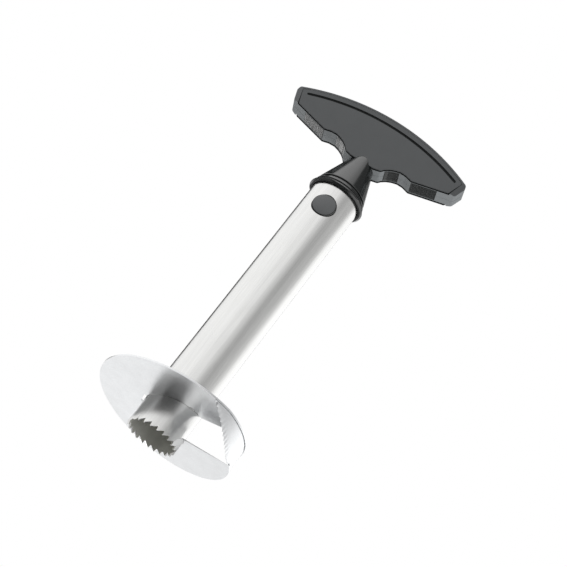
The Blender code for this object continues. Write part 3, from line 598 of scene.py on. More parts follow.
def brushed_lines():
    """Brushing lines: noise drawn out along a tube's axis or round it."""
    tree, given, result = group(
        "brushed_lines", {"Pitch": 0.12 * MM, "Draw": (1.0, 1.0, 0.02)}, ("Height", "Shade"))
    drawn = stretched(tree, given["Vector"], given["Draw"])
    scale = math(tree, "DIVIDE", 1.0, given["Pitch"])
    fine = noise(tree, drawn, scale, 2.0)
    broad = noise(tree, drawn, math(tree, "MULTIPLY", scale, 0.12), 3.0)
    both = math(tree, "ADD", math(tree, "MULTIPLY", fine, 0.6), math(tree, "MULTIPLY", broad, 0.4))
    tree.links.new(both, result["Height"])
    tree.links.new(spread(tree, both, 0.35, 0.65, 0.94, 1.04), result["Shade"])
    return tree


def place_group(tree, maker, sockets):
    """A node group, built at its first use and placed with a material's own values."""
    shared = bpy.data.node_groups.get(maker.__name__) or maker()
    return node(tree, "Group", sockets, node_tree=shared).outputs


def material(metallic):
    """A new Principled material, its shader, and the piece's own coordinates."""
    made = bpy.data.materials.new("finish")
    made.use_nodes = True
    tree = made.node_tree
    shader = tree.nodes["Principled BSDF"]
    shader.inputs["Metallic"].default_value = metallic
    return made, tree, shader, node(tree, "TexCoord").outputs["Object"]


def textured(tree, shader, base, texture, depth, rough):
    """Give a shader a colour that the texture shades, the texture's relief, and a roughness."""
    tinted = node(tree, "VectorMath", {0: tuple(base), "Scale": texture["Shade"]}, operation="SCALE")
    relief = node(tree, "Bump", {"Strength": 1.0, "Distance": depth, "Height": texture["Height"]})
    tree.links.new(tinted.outputs["Vector"], shader.inputs["Base Color"])
    tree.links.new(relief.outputs["Normal"], shader.inputs["Normal"])
    tree.links.new(rough, shader.inputs["Roughness"])


def plastic(base, roughness, grain_size, depth, contrast, smudge, specular):
    """Moulded plastic with grain, faint smudges and fine scratches."""
    made, tree, shader, where = material(0.0)
    shader.inputs["Specular IOR Level"].default_value = specular
    grain = place_group(tree, moulded_grain, {"Vector": where, "Size": grain_size, "Contrast": contrast})
    marks = place_group(tree, handling_marks, {"Vector": where})
    rough = math(tree, "MULTIPLY_ADD", marks["Smudge"], smudge, roughness)
    rough = math(tree, "MULTIPLY_ADD", marks["Scratch"], -0.5 * smudge, rough)
    textured(tree, shader, base, grain, depth, rough)
    return made


def steel(base, roughness, pitch, draw, depth, smudge):
    """Brushed or polished metal with lines drawn out one way, faint smudges and scratches."""
    made, tree, shader, where = material(1.0)
    lines = place_group(tree, brushed_lines, {"Vector": where, "Pitch": pitch, "Draw": draw})
    marks = place_group(tree, handling_marks, {"Vector": where, "Size": 20.0 * MM})
    rough = math(tree, "MULTIPLY_ADD", marks["Smudge"], smudge, roughness)
    rough = math(tree, "MULTIPLY_ADD", marks["Scratch"], smudge, rough)
    textured(tree, shader, base, lines, depth, rough)
    return made


ALONG_TUBE = (1.0, 1.0, 0.02)
ROUND_INSERT = (0.05, 0.05, 1.0)
EVEN = (1.0, 1.0, 1.0)

# Colour, roughness, pitch of the lines, how they are drawn out, their depth, and the smudges' roughness
STEELS = {
    "tube_brushed_steel": ("tube", 0.20, 0.35 * MM, ALONG_TUBE, 0.0008 * MM, 0.05),
    "blade_polished_steel": ("blade", 0.29, 0.8 * MM, EVEN, 0.0008 * MM, 0.05),
    "tube_mill_steel": ("bore", 0.55, 0.35 * MM, ALONG_TUBE, 0.004 * MM, 0.05),
    "zinc_plate": ("zinc", 0.3, 0.25 * MM, EVEN, 0.002 * MM, 0.12),
    "turned_brass": ("brass", 0.25, 0.2 * MM, ROUND_INSERT, 0.003 * MM, 0.05),
}
# Colour, roughness, size, depth and contrast of the grain, the smudges' roughness, and the specular level
PLASTICS = {
    # Painted light: a lighter copy of the rim's plastic, for the light falling on the grip's underside and
    # ends
    "grip_textured_plastic": ("core", 0.55, 0.35 * MM, 0.015 * MM, 0.12, 0.06, 0.02),
    "rim_matte_plastic": ("rim", 0.45, 0.3 * MM, 0.008 * MM, 0.08, 0.06, 0.5),
    "panel_matte_plastic": ("panel", 0.45, 0.2 * MM, 0.005 * MM, 0.05, 0.06, 0.5),
    # Painted shade: near-black plastic in grooves, gaps and the collar's foot, where shade falls
    "groove_dark_plastic": ("lining", 0.5, 0.2 * MM, 0.005 * MM, 0.08, 0.06, 0.2),
    "pad_soft_rubber": ("pad", 0.25, 0.3 * MM, 0.008 * MM, 0.2, 0.06, 0.3),
    "collar_gloss_plastic": ("gloss", 0.14, 1.5 * MM, 0.002 * MM, 0.08, 0.04, 1.0),
    "neck_satin_plastic": ("gloss", 0.15, 0.8 * MM, 0.002 * MM, 0.08, 0.04, 1.0),
    "button_satin_plastic": ("button", 0.36, 0.25 * MM, 0.006 * MM, 0.06, 0.06, 0.5),
    # Painted shade round the buttons: their rims take the near-black shade colour
    "button_edge_plastic": ("lining", 0.3, 0.25 * MM, 0.006 * MM, 0.08, 0.06, 0.5),
    "plug_plain_plastic": ("plug", 0.45, 0.4 * MM, 0.01 * MM, 0.08, 0.06, 0.5),
}


def made_once(name):
    """The material of a finish, built at its first use."""
    made = bpy.data.materials.get(name)
    if made is None:
        colours = bpy.context.scene.slicer_colours
        maker, (base, *values) = (steel, STEELS[name]) if name in STEELS else (plastic, PLASTICS[name])
        made = maker(getattr(colours, base), *values)
        made.name = name
    return made


def finish(piece, name):
    piece.data.materials.clear()
    piece.data.materials.append(made_once(name))
    return piece


def line(piece, name, inside):
    """One more finish, or painted shade, on the faces whose middle passes a test."""
    piece.data.materials.append(made_once(name))
    for face in piece.data.polygons:
        if inside(face.center):
            face.material_index = len(piece.data.materials) - 1


def dress(slot, name, *node_names):
    """A better material on solids that are shown as they are."""
    for node_name in node_names:
        finish(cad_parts[node_name], name)


# The steel pieces

class OBJECT_OT_slicer_tube(Operator):
    """Build the toothed tube with its two button holes"""

    bl_idname = "object.slicer_tube"
    bl_label = "Tube"

    def execute(self, context):
        sizes = context.scene.slicer_steel
        pitch = 2 * pi / sizes.tooth_count
        low = BUTTON_Z - BUTTON_RADIUS - HOLE_BAND
        high = BUTTON_Z + BUTTON_RADIUS + HOLE_BAND
        heights = [sizes.tooth_depth + TOOTH_ROOT_BAND, *FOOT_HEIGHTS]
        heights += spaced(FOOT_HEIGHTS[-1], low, SHAFT_STEPS)[1:] + spaced(low, high, HOLE_STEPS)[1:]
        heights.append(TUBE_LENGTH)

        def spot(column, row):
            tooth, mark = divmod(column, len(TOOTH_MARKS))
            angle = (tooth + TOOTH_MARKS[mark]) * pitch
            up = heights[row - 1] if row else sizes.tooth_depth * follow(TOOTH_SHARES, TOOTH_MARKS[mark])
            return polar(TUBE_RADIUS, angle, up), polar(TUBE_RADIUS - sizes.tube_wall, angle, up)

        columns = sizes.tooth_count * len(TOOTH_MARKS)
        reach = TUBE_RADIUS + OVERRUN
        hole = [(BUTTON_RADIUS + BUTTON_HOLE_CLEARANCE, depth) for depth in (-reach, reach)]
        tube = place("tube", skin(columns, len(heights), spot, closed=True), "core_tube",
                     "tube_brushed_steel", [tool("button_hole", button_turning(hole))])
        bore = TUBE_RADIUS - WALL_SHARE * sizes.tube_wall
        line(tube, "tube_mill_steel", lambda middle: hypot(middle.x, middle.y) < bore)
        return {"FINISHED"}


def climb(angle, early_share, flat_angle):
    """Height along an edge of the blade, which rises faster and faster and then runs level."""
    turn = min(1.0, (angle - LEAD_ANGLE) / (flat_angle - LEAD_ANGLE))
    return BLADE_LOW_Z + BLADE_RISE * (early_share * turn + (1.0 - early_share) * turn * turn)


def root_height(angle):
    return climb(angle, ROOT_EARLY_SHARE, ROOT_FLAT_ANGLE)


def rim_height(angle):
    return climb(angle, RIM_EARLY_SHARE, RIM_FLAT_ANGLE)


def sector(inner, outer, inner_start, outer_start, end):
    """An outline in X and Y between two radii, from an angle at each radius to a shared one."""
    ring = [(outer, angle) for angle in spaced(outer_start, end, RELIEF_STEPS)]
    ring += [(inner, angle) for angle in reversed(spaced(inner_start, end, RELIEF_STEPS))]
    return [(radius * cos(angle), radius * sin(angle)) for radius, angle in ring]


class OBJECT_OT_slicer_blade(Operator):
    """Build the spiral blade with its relief slots and its window"""

    bl_idname = "object.slicer_blade"
    bl_label = "Blade"

    def execute(self, context):
        half = Vector((0.0, 0.0, context.scene.slicer_steel.blade_sheet / 2))
        root = TUBE_RADIUS + SEAM
        inner = TUBE_RADIUS - OVERRUN

        def spot(column, row):
            angle = LEAD_ANGLE + (END_ANGLE - LEAD_ANGLE) * column / BLADE_COLUMNS
            out_share = row / BLADE_RINGS
            up = root_height(angle) + (rim_height(angle) - root_height(angle)) * out_share
            ground = BLADE_EDGE_SHARE + (1.0 - BLADE_EDGE_SHARE) * (angle - LEAD_ANGLE) / BLADE_GROUND_WIDTH
            middle = polar(root + (BLADE_RADIUS - root) * out_share, angle, up)
            return middle - half, middle - half + 2 * half * min(1.0, ground)

        cutters = []
        for number, angles in enumerate(RELIEF_ANGLES, 1):
            start, end = (radians(angle) for angle in angles)
            outline = rounded(
                sector(inner, TUBE_RADIUS + RELIEF_WIDTH, start, start, end), RELIEF_CORNER, RELIEF_BEND)
            cutters.append(tool(f"relief_{number}", level_plate(
                outline, root_height(start) - OVERRUN, root_height(end) + OVERRUN)))
        end = END_ANGLE - 2 * pi + WINDOW_PAST_ANGLE
        outline = sector(BLADE_RADIUS - TAIL_WIDTH, inner, TRAILING_TIP_ANGLE, LEAD_ANGLE, end)
        low = root_height(TRAILING_TIP_ANGLE + 2 * pi) - OVERRUN
        cutters.append(tool("window", level_plate(outline, low, BLADE_LOW_Z + BLADE_RISE + OVERRUN)))
        place("blade", skin(BLADE_COLUMNS, BLADE_RINGS, spot), "slicing_blade",
              "blade_polished_steel", cutters)
        return {"FINISHED"}


class OBJECT_OT_slicer_rim_knife(Operator):
    """Build the serrated strip at the blade's rim, with its ground edge"""

    bl_idname = "object.slicer_rim_knife"
    bl_label = "Rim knife"

    def execute(self, context):
        sizes = context.scene.slicer_steel
        radius = BLADE_RADIUS - KNIFE_INSET
        lead_end = LEAD_ANGLE - SEAM / radius
        clear = sizes.blade_sheet / 2 + SEAM
        level = BLADE_LOW_Z - sizes.blade_sheet / 2
        teeth = KNIFE_TOOTH_COLUMNS * sizes.knife_teeth
        foot_end = teeth + KNIFE_FOOT_COLUMNS
        nose = rim_height(KNIFE_FRONT_ANGLE + 2 * pi) - clear - KNIFE_NOSE_HEIGHT

        def edge(column):
            """Angle at the foot and at the top, height of the low edge, and if it is ground there."""
            if column <= teeth:
                share = column / teeth
                angle = between(KNIFE_FRONT_ANGLE, KNIFE_SWEEP_ANGLE, share)
                low = between(level, nose, (1.0 - share) ** KNIFE_SWEEP_POWER)
                gullet = abs(2.0 * ((column / KNIFE_TOOTH_COLUMNS) % 1.0) - 1.0)
                low += sizes.knife_tooth_depth * (1.0 - gullet ** KNIFE_GULLET_POWER)
                return angle, angle, low, True
            if column <= foot_end:
                share = (column - teeth) / KNIFE_FOOT_COLUMNS
                angle = between(KNIFE_SWEEP_ANGLE, KNIFE_FOOT_ANGLE, share)
                return angle, angle, level, False
            share = (column - foot_end - 1) / KNIFE_BACK_COLUMNS
            low_angle = between(lead_end, KNIFE_BACK_LOW_ANGLE, share)
            low = rim_height(max(low_angle, LEAD_ANGLE)) + clear
            return low_angle, between(lead_end, KNIFE_BACK_TOP_ANGLE, share), low, False

        def spot(column, row):
            low_angle, top_angle, low, is_ground = edge(column)
            top = rim_height(top_angle + 2 * pi) - clear
            ground_depth = min(KNIFE_GROUND_DEPTH, KNIFE_GROUND_SHARE * (top - low))
            ground_top = low + ground_depth
            if row < KNIFE_GROUND_ROWS:
                up = between(low, ground_top, row / KNIFE_GROUND_ROWS)
            else:
                up = between(ground_top, top, (row - KNIFE_GROUND_ROWS) / (KNIFE_ROWS - KNIFE_GROUND_ROWS))
            angle = between(low_angle, top_angle, (up - low) / (top - low))
            thick = sizes.knife_sheet
            if is_ground and up < ground_top:
                thick *= KNIFE_EDGE_SHARE + (1.0 - KNIFE_EDGE_SHARE) * (up - low) / ground_depth
            outer = radius - (sizes.knife_sheet - thick) / 2
            return polar(outer, angle, up), polar(outer - thick, angle, up)

        columns = foot_end + 1 + KNIFE_BACK_COLUMNS
        place("rim_knife_edge", skin(columns, KNIFE_ROWS, spot), "rim_knife",
              "blade_polished_steel", angle=KNIFE_SHARP_ANGLE)
        return {"FINISHED"}


# Buttons, springs and plug

class OBJECT_OT_slicer_buttons(Operator):
    """Build the two domed release buttons"""

    bl_idname = "object.slicer_buttons"
    bl_label = "Buttons"

    def execute(self, context):
        face = -BUTTON_LOW.y
        foot = -BUTTON_HIGH.y
        seat = foot + BUTTON_FLANGE_THICKNESS
        flange = BUTTON_RADIUS + BUTTON_FLANGE
        flat = BUTTON_RADIUS - BUTTON_RIM
        dome = [(radius, 0.0) for radius in spaced(0.0, flat, DOME_RINGS)]
        dome += [(flat + BUTTON_RIM * sin(turn), BUTTON_RIM * (1 - cos(turn)))
                 for turn in spaced(0.0, radians(90.0), CORNER_STEPS)[1:]]
        profile = [(radius, face - drop - BUTTON_DOME * (radius / BUTTON_RADIUS) ** 2)
                   for radius, drop in dome]
        profile += [(BUTTON_RADIUS, seat), (flange, seat), (flange, foot),
                    (BUTTON_POCKET_RADIUS, foot), (BUTTON_POCKET_RADIUS, face - BUTTON_SKIN)]
        edge = BUTTON_RADIUS - WALL_SHARE * BUTTON_RIM
        for side, facing in SIDES:
            button = place(f"button_{side}", button_turning(profile, facing), f"release_button_{side}",
                           "button_satin_plastic", body=f"button_{side}")
            # Painted shade: the button's rounded rim and side are made near-black, for the shadow gap round
            # it
            line(button, "button_edge_plastic", lambda middle: hypot(middle.x, middle.z - BUTTON_Z) > edge)
        return {"FINISHED"}


class OBJECT_OT_slicer_springs(Operator):
    """Wind the two button springs"""

    bl_idname = "object.slicer_springs"
    bl_label = "Springs"

    def execute(self, context):
        coil = (SPRING_HIGH.x - SPRING_LOW.x) / 2 - WIRE_RADIUS
        near = -SPRING_HIGH.y
        far = -SPRING_LOW.y
        rises = spaced(near + WIRE_RADIUS, far - WIRE_RADIUS, SPRING_TURNS * SPRING_TURN_POINTS)
        section = [(coil + WIRE_RADIUS * cos(turn), WIRE_RADIUS * sin(turn)) for turn in turns(WIRE_POINTS)]
        for side, facing in SIDES:
            rows = []
            for step, rise in enumerate(rises):
                angle = 2 * pi * step / SPRING_TURN_POINTS
                rows.append([(radius * cos(angle), facing * (rise + along), BUTTON_Z + radius * sin(angle))
                             for radius, along in section])
            spring = place(f"spring_{side}", solid(rows), f"button_spring_{side}",
                           "zinc_plate", angle=None)
            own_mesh(spring)
        return {"FINISHED"}


class OBJECT_OT_slicer_plug(Operator):
    """Finish the parts inside the tube and the bolt that clamps them"""

    bl_idname = "object.slicer_plug"
    bl_label = "Plug and bolt"

    def execute(self, context):
        dress("plug_plastic", "plug_plain_plastic",
              "plug_body", "plug_end_cap", "spring_seat", "button_guide_front", "button_guide_rear")
        dress("zinc_steel", "zinc_plate", "clamp_bolt", "bolt_washer")
        dress("insert_brass", "turned_brass", "grip_insert")
        return {"FINISHED"}


# Collar and neck

def neck_radius(height):
    return NECK_TOP_RADIUS + (NECK_HIGH.z - height) * NECK_SLOPE


class OBJECT_OT_slicer_collar(Operator):
    """Turn the stepped collar with its grooves"""

    bl_idname = "object.slicer_collar"
    bl_label = "Collar"

    def execute(self, context):
        radius = COLLAR_HIGH.x
        bore = TUBE_RADIUS + SEAM
        bottom = COLLAR_LOW.z
        band_top = bottom + COLLAR_BAND
        profile = []
        for number in reversed(range(COLLAR_RIDGES + 1)):
            low = band_top + number * COLLAR_RIDGE_PITCH
            high = low + COLLAR_GROOVE
            if number < COLLAR_RIDGES:
                profile.append((neck_radius(high), high))
            floor = neck_radius(high) - COLLAR_GROOVE_DEPTH
            profile += [(floor, high), (floor, low), (neck_radius(low), low)]
        profile += [(radius, band_top - COLLAR_SHOULDER), (radius, bottom + COLLAR_FOOT),
                    (radius - COLLAR_FOOT, bottom), (bore, bottom), (bore, COLLAR_STEP_Z),
                    (COLLAR_BORE_RADIUS, COLLAR_STEP_Z), (COLLAR_BORE_RADIUS, COLLAR_HIGH.z)]
        shape = lathe(rounded(profile, COLLAR_EDGE, COLLAR_BEND), COLLAR_STEPS)
        collar = place("collar", shape, "collar_ring", "collar_gloss_plastic")
        # Painted shade: the collar's foot, where it sits on the tube, is made near-black
        line(collar, "groove_dark_plastic", lambda middle: middle.z < bottom + FOOT_FACE)
        return {"FINISHED"}


class OBJECT_OT_slicer_neck(Operator):
    """Turn the conical neck"""

    bl_idname = "object.slicer_neck"
    bl_label = "Neck"

    def execute(self, context):
        shoulder = COLLAR_HIGH.z + SEAM
        spigot = COLLAR_BORE_RADIUS - SEAM
        profile = [(NECK_TOP_RADIUS, NECK_HIGH.z), (neck_radius(shoulder), shoulder), (spigot, shoulder),
                   (spigot, NECK_LOW.z), (BOLT_HOLE_RADIUS, NECK_LOW.z), (BOLT_HOLE_RADIUS, NECK_HIGH.z)]
        shape = lathe(rounded(profile, NECK_EDGE, NECK_BEND), NECK_STEPS)
        place("neck", shape, "neck_cone", "neck_satin_plastic")
        return {"FINISHED"}


# Grip, panels and pads

def underside_height(across):
    return follow(UNDERSIDE, across)


def whole_outline(foot, reach, radius):
    """An outline from the right half of its foot, closed by the back's arc of a radius, anticlockwise."""
    back = [(across, ARC_Z + sqrt(radius * radius - across * across))
            for across in spaced(reach, 0.0, GRIP_ARC_STEPS // 2)[:-1]]
    half = foot + back
    return half + [(-across, up) for across, up in reversed(half)]


def panel_outline(grow, drop):
    low_end = HALF_LENGTH - PANEL_LOW_END_INSET + grow
    high_end = HALF_LENGTH - PANEL_HIGH_END_INSET + grow
    foot = [(across, up - drop) for across, up in UNDERSIDE if across < low_end]
    foot.append((low_end, underside_height(low_end) - drop))
    return whole_outline(foot, high_end, ARC_RADIUS - PANEL_RIM + grow)


def rebated(outline):
    """The outline of a panel's back, which stands clear of the grip along its lower edge and its ends."""
    made = []
    for across, up in outline:
        above = up - underside_height(abs(across)) - REBATE_FULL
        past = abs(across) - HALF_LENGTH + PANEL_LOW_END_INSET + END_REBATE_FADE
        share = min(1.0, max(0.0, 1.0 - above / REBATE_FADE))
        inward = PANEL_END_REBATE * min(1.0, max(0.0, past / END_REBATE_FADE))
        made.append((across - copysign(inward, across), up + PANEL_REBATE * share))
    return made


def groove_tool(sizes, facing):
    """A long round-bottomed groove along the back with round ends."""
    rows = []
    for across in spaced(-GROOVE_HALF_LENGTH, GROOVE_HALF_LENGTH, GROOVE_STATIONS)[1:-1]:
        rise = sqrt(GROOVE_RADIUS * GROOVE_RADIUS - across * across)
        lean = atan2(across, rise)
        share = min(1.0, (GROOVE_HALF_LENGTH - abs(across)) / GROOVE_END) ** 0.5
        half_width = sizes.groove_width / 2 * share
        depth = sizes.groove_depth * share
        rows.append([
            (across + half_width * cos(turn) * sin(lean), facing * (HALF_GRIP + depth * sin(turn)),
             GROOVE_Z + rise + half_width * cos(turn) * cos(lean))
            for turn in turns(GROOVE_POINTS)])
    return tool("groove", solid(rows))


def end_tool(hand, facing):
    """A wedge along the grip's end that slopes its face down to it."""
    (low_x, low_z), (high_x, high_z) = UNDERSIDE[-2:]
    along = Vector((hand * (high_x - low_x), 0.0, high_z - low_z)).normalized()
    outward = Vector((hand * along.z, 0.0, -hand * along.x))
    foot = Vector((hand * low_x, 0.0, low_z))
    drop = (END_SLOPE_WIDTH + OVERRUN) * tan(END_SLOPE_ANGLE)
    corners = [(-END_SLOPE_WIDTH, HALF_GRIP), (OVERRUN, HALF_GRIP - drop), (OVERRUN, HALF_GRIP + OVERRUN),
               (-END_SLOPE_WIDTH, HALF_GRIP + OVERRUN)]
    return tool("end_slope", solid([
        [foot + along * up + outward * out + Vector((0.0, facing * depth, 0.0)) for out, depth in corners]
        for up in (-GRIP_HEIGHT / 2, GRIP_HEIGHT / 2)]))


def neck_tool():
    """The neck's cone, which the grip and its panels are cut by."""
    low = (neck_radius(COLLAR_HIGH.z) - NECK_OVERLAP, COLLAR_HIGH.z)
    high = (NECK_TOP_RADIUS - NECK_OVERLAP, NECK_HIGH.z + SEAM)
    return tool("neck_room", lathe([(0.0, high[1]), high, low, (0.0, low[1])], NECK_STEPS, loop=False))


class OBJECT_OT_slicer_grip(Operator):
    """Build the grip's moulded body with its chamfers and its parting line"""

    bl_idname = "object.slicer_grip"
    bl_label = "Grip body"

    def execute(self, context):
        sizes = context.scene.slicer_grip
        outline = rounded(whole_outline(UNDERSIDE, CORNER_X, ARC_RADIUS), sizes.corner, GRIP_BEND)
        bend = GRIP_BEND_SHARE * sizes.edge
        edges = [(HALF_GRIP, sizes.edge), (HALF_GRIP - GRIP_EDGE_BEND, bend),
                 (HALF_GRIP - bend, GRIP_EDGE_BEND), (HALF_GRIP - sizes.edge, 0.0), *PARTING_LINE]
        half = [(along, inset(outline, amount) if amount else outline) for along, amount in edges]
        stations = [(-along, ring) for along, ring in half] + half[::-1]
        cutters = []
        recess = rounded(panel_outline(PANEL_ROOM, OVERRUN), sizes.corner, GRIP_BEND)
        for _, facing in SIDES:
            near, far = sorted((facing * CORE_HALF, facing * (HALF_GRIP + OVERRUN)))
            cutters.append(tool("recess", loft([(near, recess), (far, recess)])))
        room = PAD_HALF + PAD_ROOM
        for hand in (-1, 1):
            for shares in PAD_SHARES.values():
                outside = pad_outline(shares, hand)
                cutters.append(tool("pad_recess", loft([(-room, outside), (room, outside)])))
            cutters += [end_tool(hand, facing) for _, facing in SIDES]
        bore = [(INSERT_BORE_RADIUS, NECK_HIGH.z + reach) for reach in (-OVERRUN, INSERT_BORE_DEPTH)]
        cutters += [neck_tool(), tool("insert_bore", lathe(bore, INSERT_BORE_STEPS, loop=False))]
        core = place("grip_body", loft(stations), "grip_core",
                     "grip_textured_plastic", cutters)
        slope_foot = CORNER_X - END_SLOPE_WIDTH - END_SLOPE_REACH
        # The faces round the panels and the end slopes keep the plastic's darker tone; the rest keeps the
        # lighter painted-light copy
        line(core, "rim_matte_plastic", lambda middle: (
            abs(middle.y) > HALF_GRIP - GRIP_EDGE_SHARE * sizes.edge
            or (abs(middle.x) > slope_foot and abs(middle.y) > HALF_GRIP - END_SLOPE_DEPTH)))
        # Painted shade: the floors of the panel recesses, seen through the gaps round the panels, are made
        # near-black
        line(core, "groove_dark_plastic", lambda middle: abs(abs(middle.y) - CORE_HALF) < ON_FACE)
        return {"FINISHED"}


class OBJECT_OT_slicer_panels(Operator):
    """Build the two panels with the long groove along the back"""

    bl_idname = "object.slicer_panels"
    bl_label = "Panels"

    def execute(self, context):
        sizes = context.scene.slicer_grip
        outline = rounded(panel_outline(0.0, 0.0), sizes.corner, GRIP_BEND)
        back = rebated(outline)
        edge = sizes.panel_edge
        depths = [(PANEL_THICKNESS, back), (PANEL_LIP + edge + PANEL_STEP, back),
                  (PANEL_LIP + edge, outline), (edge, outline)]
        depths += [(edge * (1 - sin(turn)), inset(outline, edge * (1 - cos(turn))))
                   for turn in (radians(30.0), radians(60.0), radians(90.0))]
        groove_floor = HALF_GRIP - GROOVE_DEPTH_SHARE * sizes.groove_depth
        reach = GROOVE_WIDTH_SHARE * sizes.groove_width
        slot_top = HALF_GRIP - PANEL_LIP - edge - 2 * ON_FACE
        for side, facing in SIDES:
            shape = loft([(facing * (HALF_GRIP - depth), ring) for depth, ring in depths])
            panel = place(f"panel_{side}", shape, f"{side}_panel", "panel_matte_plastic",
                          [groove_tool(sizes, facing), neck_tool()])
            # Painted shade: the groove's faces are made near-black
            line(panel, "groove_dark_plastic", lambda middle: (
                abs(hypot(middle.x, middle.z - GROOVE_Z) - GROOVE_RADIUS) < reach
                and abs(middle.x) < GROOVE_HALF_LENGTH
                and groove_floor < abs(middle.y) < HALF_GRIP - ON_FACE))
            # Painted shade: the panel's back and its rebated lower edge are made near-black, drawing the
            # shadow gap along the grip
            line(panel, "groove_dark_plastic", lambda middle: abs(middle.y) < slot_top)
        return {"FINISHED"}


def pad_outline(shares, hand):
    """The outline of a pad's recess, which is open below."""
    start, end = (share * HALF_LENGTH for share in shares)
    edge = [start - PAD_ROOM, *(across for across, _ in UNDERSIDE if start < across < end), end + PAD_ROOM]
    lower = [(hand * across, underside_height(across) - OVERRUN) for across in edge]
    upper = [(hand * across, underside_height(across) + PAD_DEPTH + PAD_ROOM) for across in reversed(edge)]
    return lower + upper


def pad_shape(sizes, shares, hand, draw):
    """A pad whose face is set with pebbles in staggered rows, each a little off its place."""
    pitch = sizes.pebble_pitch
    row_pitch = pitch * PEBBLE_ROW_SHARE
    start, end = (share * HALF_LENGTH for share in shares)
    columns = ceil((end - start) / PAD_CELL)
    rows = ceil(2 * PAD_HALF / PAD_CELL)
    pebbles = {}

    def pebble(column, row):
        if (column, row) not in pebbles:
            across = column + 0.5 * (row % 2) + draw.uniform(-PEBBLE_SHIFT, PEBBLE_SHIFT)
            along = row + draw.uniform(-PEBBLE_SHIFT, PEBBLE_SHIFT)
            pebbles[column, row] = across * pitch, along * row_pitch
        return pebbles[column, row]

    def swell(across, along):
        row = round(along / row_pitch)
        column = round(across / pitch)
        near = (pebble(column + i, row + j) for i in (-1, 0, 1) for j in (-1, 0, 1))
        nearest = min(hypot(across - x, along - y) for x, y in near)
        return sqrt(max(0.0, 1.0 - (nearest / (PEBBLE_REACH_SHARE * pitch)) ** 2))

    def spot(column, row):
        across = between(start, end, column / columns)
        along = PAD_HALF * (2 * row / rows - 1)
        base = underside_height(across)
        edge = min(column, columns - column, row, rows - row) * PAD_CELL
        rise = sizes.pebble_height * (1.0 - swell(across, along) * min(1.0, edge / PAD_FADE))
        return Vector((hand * across, along, base + rise)), Vector((hand * across, along, base + PAD_DEPTH))

    return skin(columns, rows, spot)


class OBJECT_OT_slicer_pads(Operator):
    """Build the four pebbled finger pads"""

    bl_idname = "object.slicer_pads"
    bl_label = "Pads"

    def execute(self, context):
        for where, shares in PAD_SHARES.items():
            for side, hand in (("left", -1), ("right", 1)):
                shape = pad_shape(context.scene.slicer_grip, shares, hand, Random(f"{where}{side}"))
                place(f"pad_{where}_{side}", shape, f"{where}_pad_{side}", "pad_soft_rubber",
                      angle=PAD_SHARP_ANGLE)
        return {"FINISHED"}


# Studio

CAMERA_AZIMUTH = 12.10
CAMERA_ELEVATION = -26.97
CAMERA_ROLL = radians(37.70)
CAMERA_DISTANCE = 1045.1 * MM
CAMERA_TARGET = Vector((6.15 * MM, 0.0, 125.9 * MM))
CAMERA_LENS = 113.2
CAMERA_SENSOR = 36.0
FLOOR_HALF_SIZE = 3.0
FLOOR_GAP = 0.05 * MM
# The even light changes from its strength below to that above between these heights of a direction
HORIZON_HEIGHTS = (-0.6, 0.6)

# Soft boxes and dark flags that gloss shows: name, azimuth, elevation, half angle, softness, strength
STUDIO_PATCHES = (
    ("box_left", -75, 30, 20, 40, 1.16),
    ("box_right_rear", 148, 18, 16, 24, 1.35),
    ("pane_rear_low", -170, -14, 5, 10, 0.90),
    ("box_left_low_rear", -148, -11, 7, 6, 3.7),
    ("box_overhead", -42, 64, 33, 4, 1.03),
    ("box_overhead_heart", -52, 61, 6, 27, 1.55),
    ("flag_right", 58, 27, 8, 43, 0.58),
    ("flag_right_heart", 48, 27, 3, 14, 0.47),
    ("flag_right_high", 100, 58, 23, 5, 0.12),
    ("flag_rear_left", -156, 27, 21, 4, 0.02),
    ("flag_rear_left_high", -141, 42, 9, 5, 0.03),
    ("flag_rear_low", 168, -28, 8, 5, 0.05),
    ("flag_right_rear_low", 152, -40, 13, 6, 0.04),
    ("flag_right_rear_high", 158, 44, 9, 6, 0.25),
    ("flag_left_low", -95, -27, 20, 25, 0.25),
    ("flag_front_low", -8, -34, 32, 22, 0.03),
)

# Lamps: the studio setting with the power, azimuth, elevation, size
LAMPS = (("key", -50, 45, 0.6), ("edge", 110, -12, 0.4))


def bearing(azimuth, elevation):
    """A direction from the object in degrees, azimuth 0 towards -Y and 90 towards +X."""
    turn, rise = radians(azimuth), radians(elevation)
    return Vector((sin(turn) * cos(rise), -cos(turn) * cos(rise), sin(rise)))


def add_camera():
    camera = bpy.data.cameras.new("photo_camera")
    camera.lens = CAMERA_LENS
    camera.sensor_width = CAMERA_SENSOR
    camera.clip_start = 0.01
    camera.clip_end = 20.0
    towards = bearing(CAMERA_AZIMUTH, CAMERA_ELEVATION)
    level = towards.to_track_quat("Z", "Y").to_matrix().to_4x4()
    thing = add("photo_camera", camera)
    thing.matrix_world = (Matrix.Translation(CAMERA_TARGET + towards * CAMERA_DISTANCE) @ level
                          @ Matrix.Rotation(CAMERA_ROLL, 4, "Z"))
    bpy.context.scene.camera = thing


